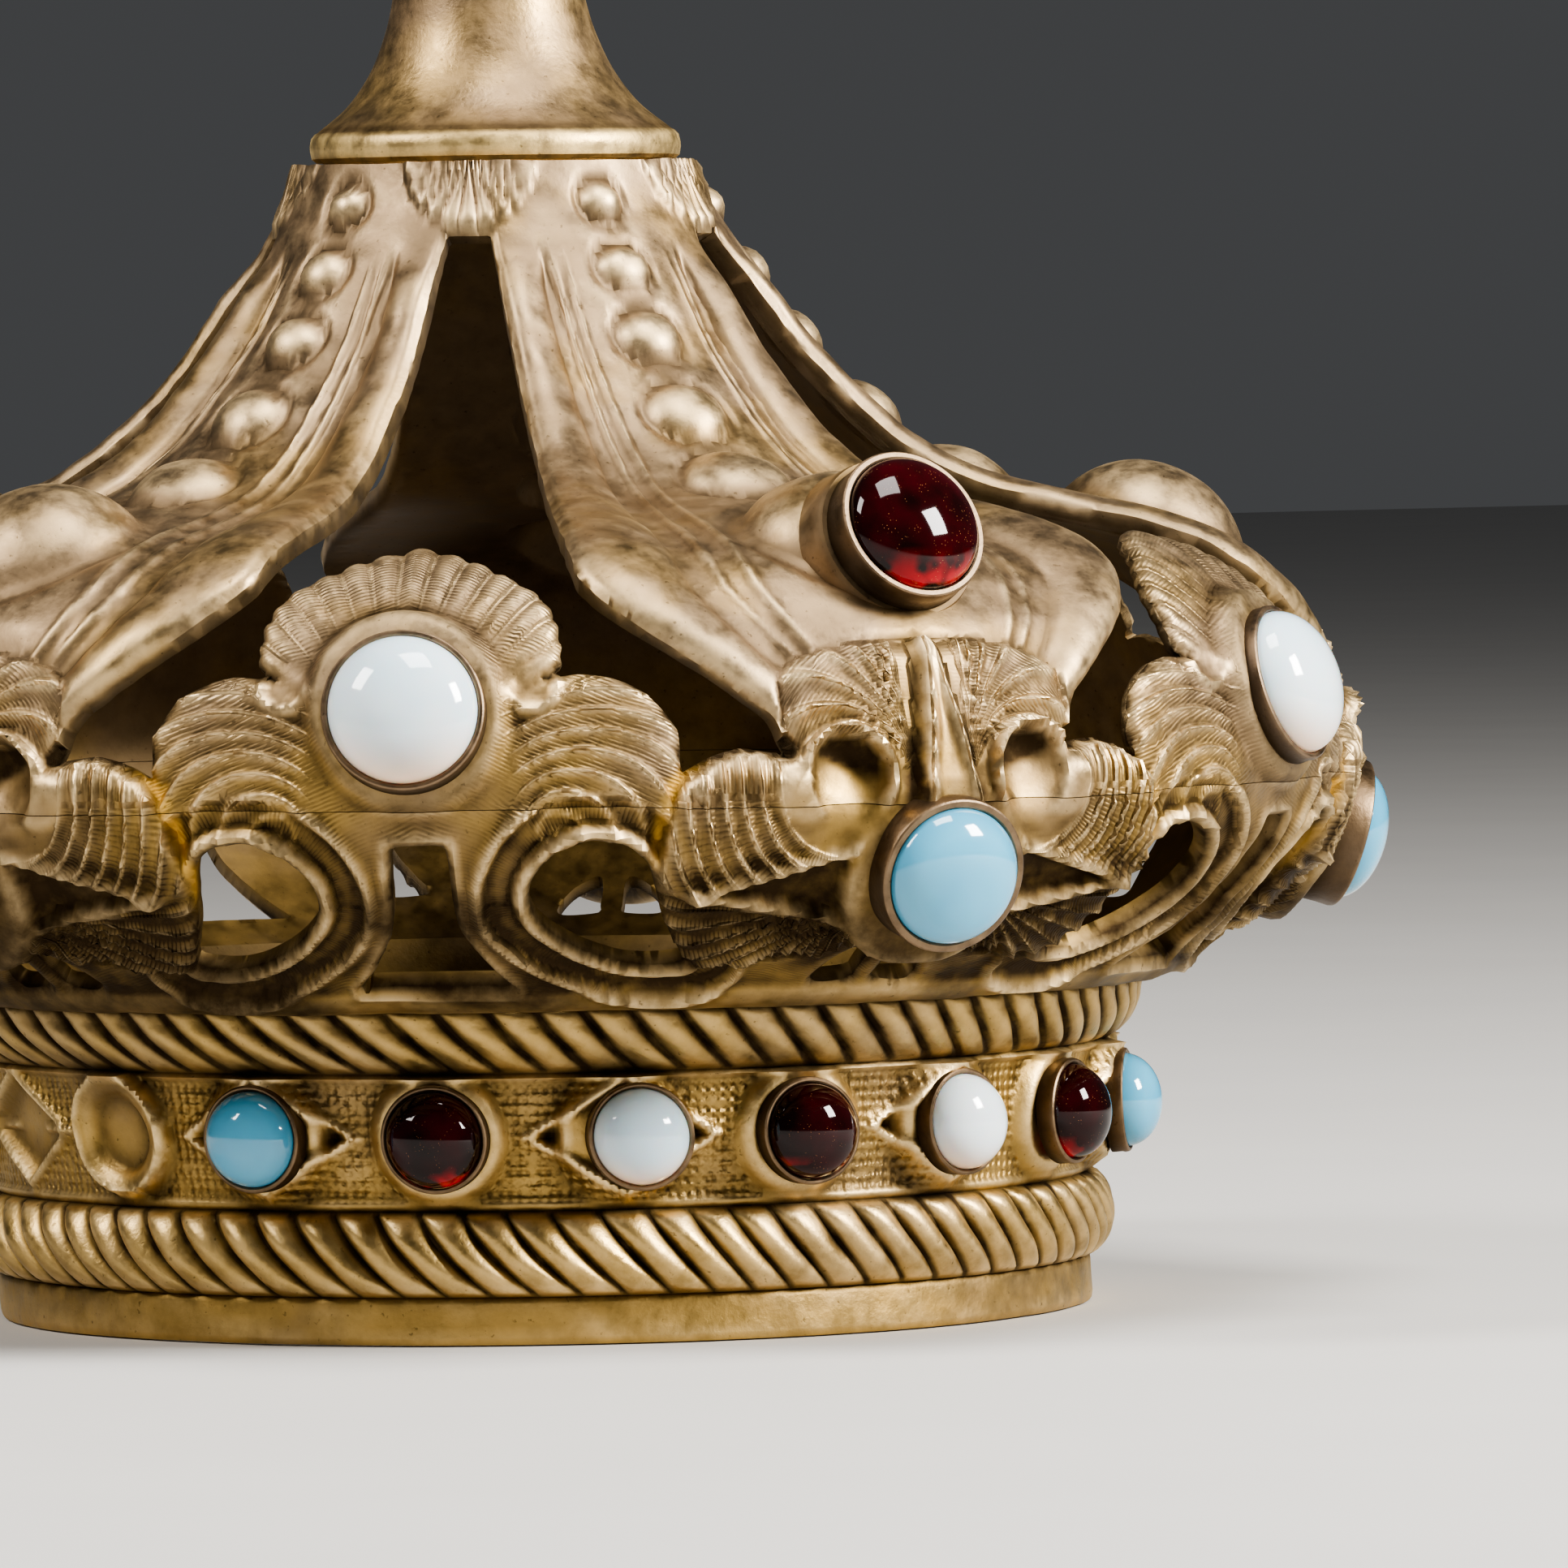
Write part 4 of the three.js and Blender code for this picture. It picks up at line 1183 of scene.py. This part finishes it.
def new_group(name, inputs, outputs):
    """An empty shader group with named sockets, and its input and output nodes."""
    group = bpy.data.node_groups.new(name, "ShaderNodeTree")
    kinds = {"c": "NodeSocketColor", "f": "NodeSocketFloat", "v": "NodeSocketVector"}
    for direction, sockets in (("INPUT", inputs), ("OUTPUT", outputs)):
        for label, kind, *value in sockets:
            made = group.interface.new_socket(name=label, in_out=direction, socket_type=kinds[kind])
            if value:
                made.default_value = value[0]
    entry, leaving = group.nodes.new("NodeGroupInput"), group.nodes.new("NodeGroupOutput")
    return group, entry.outputs, leaving.inputs


print("helpers are ready; node groups so far:", len(bpy.data.node_groups))

# %% [markdown]
# The meshes carry two masks, one of dirt and painted shade and one of wear, which were
# measured from the relief. The group lays the colours over each other: gold, tarnish in
# clouds and more of it higher up, bright metal where it is worn, and grime in the hollows and
# in small pits; the same dark colour paints the shade that the first mask carries.

# %% The aged gilding group


def build_gilding():
    """Colour, roughness and fine height of old gilding."""
    group, given, result = new_group(
        "aged gilding",
        [("Gold", "c", (0.6, 0.45, 0.2, 1)), ("Dull", "c", (0.45, 0.37, 0.28, 1)),
         ("Bright", "c", (0.85, 0.74, 0.5, 1)), ("Grime And Shade", "c", (0.07, 0.045, 0.02, 1)),
         ("Dirt And Shade", "f", 0.0), ("Worn", "f", 0.0), ("Dull From", "f", 0.03), ("Dull To", "f", 0.06)],
        [("Color", "c"), ("Roughness", "f"), ("Height", "f")])
    place = group.nodes.new("ShaderNodeTexCoord").outputs["Object"]
    height = group.nodes.new("ShaderNodeSeparateXYZ")
    join(group, place, height.inputs[0])

    def noise(scale, detail, rough=0.55):
        """Clouds of one size, from 0 to 1."""
        node = add(group, "ShaderNodeTexNoise", Scale=scale, Detail=detail, Roughness=rough)
        join(group, place, node.inputs["Vector"])
        return node.outputs["Fac"]

    clouds, mottle, specks = noise(85, 4), noise(520, 5, 0.62), noise(2300, 3)
    rise = group.nodes.new("ShaderNodeMapRange")
    join(group, height.outputs[2], rise.inputs[0])
    join(group, given["Dull From"], rise.inputs[1])
    join(group, given["Dull To"], rise.inputs[2])
    drift = spread(group, clouds, 0.38, 0.62, -0.45, 0.45)
    patina = sum_of(group, rise.outputs[0], drift, "ADD", True)
    colour = blend_colour(group, patina, given["Gold"], given["Dull"])
    shade = spread(group, mottle, 0.3, 0.7, 0.80, 1.14)
    tint = group.nodes.new("ShaderNodeCombineColor")
    for socket in tint.inputs[:3]:
        join(group, shade, socket)
    colour = blend_colour(group, 1.0, colour, tint.outputs[0], "MULTIPLY")
    rub = sum_of(group, given["Worn"], spread(group, mottle, 0.35, 0.6, 0.35, 1.0))
    colour = blend_colour(group, rub, colour, given["Bright"])
    # the dark colour is laid on for dirt and for painted shade alike
    dirt_and_shade_mix = sum_of(group, given["Dirt And Shade"], spread(group, mottle, 0.3, 0.7, 1.15, 0.8), "MULTIPLY", True)
    colour = blend_colour(group, dirt_and_shade_mix, colour, given["Grime And Shade"])
    pits = spread(group, specks, 0.66, 0.74, 0.0, 0.55)
    colour = blend_colour(group, pits, colour, given["Grime And Shade"])
    rough = sum_of(group, spread(group, mottle, 0.3, 0.7, 0.33, 0.54), sum_of(group, dirt_and_shade_mix, 0.25), "ADD")
    rough = sum_of(group, rough, sum_of(group, patina, 0.05), "ADD")
    bumps = sum_of(group, spread(group, specks, 0.3, 0.75, 1.0, 0.0), sum_of(group, mottle, 1.2), "ADD")
    join(group, colour, result["Color"])
    join(group, rough, result["Roughness"])
    join(group, bumps, result["Height"])
    return group


GILDING = build_gilding()
print("group:", GILDING.name, "with", len(GILDING.nodes), "nodes")

# %% [markdown]
# Two more groups draw what is too fine for the net of points. One makes the short strokes or
# pips of the tooled ground from a run, which is a distance in millimetres. The other makes
# the sharp edges of ribs and flutes from their phase.

# %% The tooling groups


def build_ground():
    """Fine tooling: lines where one run is given, pips or a lattice where two are."""
    group, given, result = new_group(
        "tooled ground", [("Run A", "f", 0.0), ("Run B", "f", 0.0), ("Share", "f", 0.0),
                          ("Pitch", "f", 0.4)], [("Height", "f"), ("Shade", "f")])
    waves = []
    for label in ("Run A", "Run B"):
        turns = sum_of(group, sum_of(group, given[label], given["Pitch"], "DIVIDE"), 2 * math.pi)
        waves.append(sum_of(group, turns, None, "SINE"))
    both = sum_of(group, waves[0], waves[1], "ADD")
    # the strokes are short: a fine cloud breaks them up
    place = group.nodes.new("ShaderNodeTexCoord").outputs["Object"]
    cloud = add(group, "ShaderNodeTexNoise", Scale=1500.0, Detail=2.0)
    join(group, place, cloud.inputs["Vector"])
    strokes = sum_of(group, given["Share"], spread(group, cloud.outputs["Fac"], 0.38, 0.58, 0.25, 1.0))
    height = sum_of(group, both, strokes)
    join(group, height, result["Height"])
    join(group, sum_of(group, spread(group, both, -0.2, -1.4, 0, 1), strokes), result["Shade"])
    return group


def build_flutes():
    """Sharp ridges with shingled flanks, one for each whole number of the phase."""
    group, given, result = new_group("sharp flutes", [("Phase", "f", 0.0), ("Share", "f", 0.0)],
                                     [("Height", "f"), ("Crest", "f"), ("Valley", "f")])
    part = sum_of(group, given["Phase"], None, "FRACT")
    away = sum_of(group, sum_of(group, part, 0.5, "SUBTRACT"), None, "ABSOLUTE")
    crest_line = sum_of(group, spread(group, away, 0.38, 0.5, 0.0, 1.0), given["Share"])
    valley = sum_of(group, spread(group, part, 0.10, 0.24, 0.0, 1.0),
                    spread(group, part, 0.24, 0.62, 1.0, 0.0))
    height = sum_of(group, crest_line, sum_of(group, sum_of(group, part, given["Share"]), 0.55), "ADD")
    join(group, height, result["Height"])
    join(group, crest_line, result["Crest"])
    join(group, sum_of(group, valley, given["Share"]), result["Valley"])
    return group


GROUND, FLUTES = build_ground(), build_flutes()
print("groups:", GROUND.name, "and", FLUTES.name)

# %% [markdown]
# A metal finish puts the groups together: colour and roughness go straight to the shader,
# and all the heights feed one bump. Metallic is a plain 1 on the shader itself.

# %% Metal finishes


# the colour of dirt, which also paints the shade
GRIME_AND_SHADE = (0.040, 0.025, 0.012)
OUTLINE_GOLD = (0.83, 0.50, 0.10)


def mask_of(tree, label):
    """The value that a mesh carries under a name."""
    node = tree.nodes.new("ShaderNodeAttribute")
    node.attribute_name = label
    return node.outputs["Fac"]


def metal(name, colours, dull_z, pitch=None, pip_depth=0.09, ridged=False):
    """Old gilding; dull_z is where tarnish sets in, and the pitch is that of the tooling."""
    material = bpy.data.materials.new(name)
    material.use_nodes = True
    tree = material.node_tree
    shader = tree.nodes["Principled BSDF"]
    shader.inputs["Metallic"].default_value = 1.0
    gilding = add(tree, "ShaderNodeGroup")
    gilding.node_tree = GILDING
    for label, value in zip(("Gold", "Dull", "Bright", "Grime And Shade"), (*colours, GRIME_AND_SHADE)):
        gilding.inputs[label].default_value = (*value, 1)
    gilding.inputs["Dull From"].default_value, gilding.inputs["Dull To"].default_value = dull_z
    worn, dirt_and_shade = mask_of(tree, "worn"), mask_of(tree, "dirt_and_shade")
    colour, height = gilding.outputs["Color"], gilding.outputs["Height"]
    height = sum_of(tree, height, 0.16)
    if ridged:
        flutes = add(tree, "ShaderNodeGroup")
        flutes.node_tree = FLUTES
        join(tree, mask_of(tree, "flute"), flutes.inputs["Phase"])
        join(tree, mask_of(tree, "ridged"), flutes.inputs["Share"])
        worn = sum_of(tree, worn, sum_of(tree, flutes.outputs["Crest"], 0.7), "ADD", True)
        dirt_and_shade = sum_of(tree, dirt_and_shade, sum_of(tree, flutes.outputs["Valley"], 0.45), "ADD", True)
        height = sum_of(tree, height, sum_of(tree, flutes.outputs["Height"], 5.0), "ADD")
    join(tree, worn, gilding.inputs["Worn"])
    if pitch:
        ground = add(tree, "ShaderNodeGroup")
        ground.node_tree = GROUND
        ground.inputs["Pitch"].default_value = pitch
        for label, field in (("Run A", "run_a"), ("Run B", "run_b"), ("Share", "hatch")):
            join(tree, mask_of(tree, field), ground.inputs[label])
        dirt_and_shade = sum_of(tree, dirt_and_shade, sum_of(tree, ground.outputs["Shade"], 0.34), "ADD", True)
        height = sum_of(tree, height, sum_of(tree, ground.outputs["Height"], 0.5), "ADD")
        line = sum_of(tree, mask_of(tree, "gold_line"), 0.75)
        colour = blend_colour(tree, line, colour, OUTLINE_GOLD)
    join(tree, dirt_and_shade, gilding.inputs["Dirt And Shade"])
    bump = add(tree, "ShaderNodeBump", Strength=0.85, Distance=pip_depth * MM)
    join(tree, height, bump.inputs["Height"])
    join(tree, colour, shader.inputs["Base Color"])
    join(tree, gilding.outputs["Roughness"], shader.inputs["Roughness"])
    join(tree, bump.outputs[0], shader.inputs["Normal"])
    return material


# gold, dull and bright for each; the heights are in metres, as the shader has them
sheet_finish = metal("gilt sheet",
                     ((0.355, 0.235, 0.08), (0.275, 0.195, 0.115), (0.84, 0.645, 0.37)),
                     (0.028, 0.050), 0.26, 0.045, True)
band_finish = metal("gilt band", ((0.45, 0.30, 0.10), (0.34, 0.24, 0.12), (0.90, 0.69, 0.37)),
                    (0.0, 0.06), 0.66, 0.12)
finial_finish = metal("spun gilt", ((0.40, 0.275, 0.115), (0.27, 0.19, 0.11), (0.85, 0.64, 0.29)),
                      (0.070, 0.090))
cup_finish = metal("dark cup brass", ((0.12, 0.08, 0.045), (0.095, 0.07, 0.05), (0.30, 0.21, 0.13)),
                   (0.0, 0.06))


def dress(piece, finish):
    """Gives a piece one material."""
    piece.data.materials.clear()
    piece.data.materials.append(finish)


for piece, finish in ((lower, sheet_finish), (upper, sheet_finish), (seat, sheet_finish),
                      (band, band_finish), (finial, finial_finish)):
    dress(piece, finish)
for piece in cups:
    dress(piece, cup_finish)
print("pieces of metal dressed:", 5 + len(cups))

# %% [markdown]
# Glass. The blue stones are opaque, coloured through. The white ones are milky: cool in the
# middle, with a painted warm glow on the lower rim where light would leak through. The red
# ones are nearly black, with painted glints of foil flecks under the face and a painted red
# glow, also emitted, low down where the light would come through.

# %% Glass finishes


def glass_base(name, rough):
    """A polished glass that still lacks its colour."""
    material = bpy.data.materials.new(name)
    material.use_nodes = True
    shader = material.node_tree.nodes["Principled BSDF"]
    shader.inputs["Roughness"].default_value = rough
    shader.inputs["IOR"].default_value = 1.52
    shader.inputs["Coat Weight"].default_value = 0.6
    shader.inputs["Coat Roughness"].default_value = 0.02
    return material, material.node_tree, shader


def cloud_of(tree, scale, detail=2):
    """Soft clouds; at 100 they are about a centimetre wide."""
    place = tree.nodes.new("ShaderNodeTexCoord").outputs["Object"]
    node = add(tree, "ShaderNodeTexNoise", Scale=scale, Detail=detail)
    join(tree, place, node.inputs["Vector"])
    return node.outputs["Fac"]


def blue_glass():
    """Opaque blue, a little darker at the rim."""
    material, tree, shader = glass_base("turquoise glass", 0.10)
    veil = spread(tree, cloud_of(tree, 160), 0.35, 0.65, 0.0, 1.0)
    colour = blend_colour(tree, veil, (0.085, 0.37, 0.57), (0.12, 0.44, 0.64))
    rim = spread(tree, mask_of(tree, "from_middle"), 0.75, 1.0, 0.0, 0.45)
    colour = blend_colour(tree, rim, colour, (0.04, 0.22, 0.36))
    join(tree, colour, shader.inputs["Base Color"])
    shader.inputs["Subsurface Weight"].default_value = 0.15
    shader.inputs["Subsurface Scale"].default_value = 0.001
    return material


def white_glass():
    """Milky and cool, with a painted warm glow on the lower rim."""
    material, tree, shader = glass_base("opal glass", 0.09)
    veil = spread(tree, cloud_of(tree, 140), 0.35, 0.65, 0.0, 1.0)
    colour = blend_colour(tree, veil, (0.60, 0.76, 0.85), (0.78, 0.87, 0.91))
    # painted light: warm where light would leak through the lower rim
    low = sum_of(tree, spread(tree, mask_of(tree, "low_side"), 0.2, 0.95, 0.0, 1.0),
                 spread(tree, mask_of(tree, "from_middle"), 0.4, 1.0, 0.0, 1.0))
    colour = blend_colour(tree, sum_of(tree, low, 0.85), colour, (0.95, 0.60, 0.36))
    join(tree, colour, shader.inputs["Base Color"])
    shader.inputs["Subsurface Weight"].default_value = 0.35
    shader.inputs["Subsurface Scale"].default_value = 0.0015
    return material


def red_glass():
    """Nearly black, with a painted red glow low down, also emitted, and painted glints of foil."""
    material, tree, shader = glass_base("garnet glass", 0.05)
    shader.inputs["Coat Weight"].default_value = 0.0
    shader.inputs["Specular IOR Level"].default_value = 0.28
    # painted light: red where light would shine through the lower rim, and in patches
    low = sum_of(tree, spread(tree, mask_of(tree, "low_side"), 0.45, 0.95, 0.0, 1.0),
                 spread(tree, mask_of(tree, "from_middle"), 0.5, 0.95, 0.0, 1.0))
    patch = spread(tree, cloud_of(tree, 420, 2), 0.50, 0.62, 0.0, 1.0)
    glow = sum_of(tree, low, patch)
    colour = blend_colour(tree, spread(tree, cloud_of(tree, 300, 3), 0.4, 0.7, 0.0, 0.8),
                          (0.006, 0.001, 0.001), (0.035, 0.0015, 0.003))
    colour = blend_colour(tree, glow, colour, (0.42, 0.004, 0.010))
    # painted glints: flecks of foil under the face that catch the light
    foil_glints = add(tree, "ShaderNodeTexVoronoi", Scale=5200.0)
    join(tree, tree.nodes.new("ShaderNodeTexCoord").outputs["Object"], foil_glints.inputs["Vector"])
    spark = spread(tree, foil_glints.outputs["Distance"], 0.16, 0.08, 0.0, 1.0)
    spark = sum_of(tree, spark, spread(tree, cloud_of(tree, 900, 2), 0.5, 0.58, 0.0, 0.8))
    colour = blend_colour(tree, spark, colour, (0.36, 0.17, 0.07))
    join(tree, colour, shader.inputs["Base Color"])
    # painted light: the red glow is also emitted, though the stone is no lamp
    join(tree, blend_colour(tree, glow, (0.0, 0.0, 0.0), (0.35, 0.0, 0.01)),
         shader.inputs["Emission Color"])
    shader.inputs["Emission Strength"].default_value = 0.25
    return material


glasses = {"turquoise": blue_glass(), "opal": white_glass(), "garnet": red_glass()}
for glass_name, finish in glasses.items():
    for piece in stones[glass_name]:
        dress(piece, finish)
print("finishes:", [m.name for m in bpy.data.materials])

# %% [markdown]
# The crown stands on a plain pale floor, rough so that it mirrors nothing. A floor could be
# a plane from a menu, but four corners written down say its size at once.

# %% The floor
floor_mesh = bpy.data.meshes.new("floor")
REACH = 3.0              # half the floor's side, in metres
corners = [(-REACH, -REACH, 0), (REACH, -REACH, 0), (REACH, REACH, 0), (-REACH, REACH, 0)]
floor_mesh.from_pydata(corners, [], [(0, 1, 2, 3)])
floor = bpy.data.objects.new("floor", floor_mesh)
floor.location.z = -0.1 * MM
bpy.context.scene.collection.objects.link(floor)
floor_finish = bpy.data.materials.new("pale floor")
floor_finish.use_nodes = True
floor_tree = floor_finish.node_tree
floor_shader = floor_tree.nodes["Principled BSDF"]
floor_shader.inputs["Roughness"].default_value = 0.85
floor_grey = blend_colour(floor_tree, cloud_of(floor_tree, 30), (0.50, 0.49, 0.475),
                          (0.54, 0.53, 0.51))
join(floor_tree, floor_grey, floor_shader.inputs["Base Color"])
floor_mesh.materials.append(floor_finish)

print("floor:", 2 * REACH, "m wide")

# %% [markdown]
# The camera stands a long way off with a long lens, so that near and far parts come out at
# nearly one size. It is aimed by three small turns from the direction of the axis.

# %% The camera
AZIMUTH, DISTANCE, EYE_HEIGHT = -28.5, 900.0, 65.2       # degrees and millimetres
YAW, PITCH, ROLL = 1.04, -1.96, 0.89
LENS, SENSOR = 310.7, 36.0


def aim_camera():
    """Places the camera and makes it the scene's own."""
    a, yaw, pitch, roll = (math.radians(v) for v in (AZIMUTH, YAW, PITCH, ROLL))
    to_axis = Vector((-math.sin(a), math.cos(a), 0))
    right = Vector((math.cos(a), math.sin(a), 0))
    level = to_axis * math.cos(yaw) + right * math.sin(yaw)
    side = right * math.cos(yaw) - to_axis * math.sin(yaw)
    ahead = level * math.cos(pitch) + Vector((0, 0, math.sin(pitch)))
    up = side.cross(ahead)
    up, side = (up * math.cos(roll) + side * math.sin(roll),
                side * math.cos(roll) - up * math.sin(roll))
    camera = bpy.data.objects.new("camera", bpy.data.cameras.new("camera"))
    camera.data.lens = LENS
    camera.data.sensor_width = SENSOR
    camera.data.clip_start, camera.data.clip_end = 0.05, 20.0
    turn = Matrix((side, up, -ahead)).transposed().to_4x4()
    where = Vector((FOOT_X + DISTANCE * math.sin(a), -DISTANCE * math.cos(a), EYE_HEIGHT)) * MM
    camera.matrix_world = Matrix.Translation(where) @ turn
    bpy.context.scene.collection.objects.link(camera)
    bpy.context.scene.camera = camera
    return camera


print("camera at", [round(v, 3) for v in aim_camera().matrix_world.translation], "m")

# %% [markdown]
# Three soft lamps: one high on the right, whose reflection shows in the stones, one wide on
# the left, and one above. Dim grey light from all round fills the shadows.

# %% The lamps
TARGET_Z = 0.045         # the lamps are aimed at this height of the axis, in metres
LAMPS = [  # name, azimuth and rise in degrees, distance, width, height in metres, watts, colour
    ("right lamp", 38, 28, 0.75, 0.20, 0.26, 12.5, (1.0, 0.97, 0.93)),
    ("left lamp", -95, 40, 0.8, 0.22, 0.30, 5.0, (1.0, 0.96, 0.92)),
    ("top lamp", -5, 72, 0.8, 0.34, 0.34, 6.5, (1.0, 0.97, 0.93))]


def lamp(name, azimuth, rise, distance, wide, tall, power, colour):
    """A soft rectangular lamp aimed at the middle of the crown."""
    data = bpy.data.lights.new(name, "AREA")
    data.shape, data.size, data.size_y = "RECTANGLE", wide, tall
    data.energy, data.color = power, colour
    a, e = math.radians(azimuth), math.radians(rise)
    back = Vector((math.sin(a) * math.cos(e), -math.cos(a) * math.cos(e), math.sin(e)))
    target = Vector((0, 0, TARGET_Z))
    made = bpy.data.objects.new(name, data)
    made.location = target + back * distance
    made.rotation_mode = "QUATERNION"
    made.rotation_quaternion = (-back).to_track_quat("-Z", "Y")
    bpy.context.scene.collection.objects.link(made)
    return made


for settings in LAMPS:
    lamp(*settings)
world = bpy.data.worlds.new("studio")
bpy.context.scene.world = world
world.use_nodes = True
sky = world.node_tree.nodes["Background"]
sky.inputs["Color"].default_value = (0.80, 0.82, 0.85, 1)
sky.inputs["Strength"].default_value = 0.085
bpy.context.scene.view_settings.view_transform = "AgX"
bpy.context.scene.view_settings.look = "AgX - Medium High Contrast"
print("lamps:", [settings[0] for settings in LAMPS])
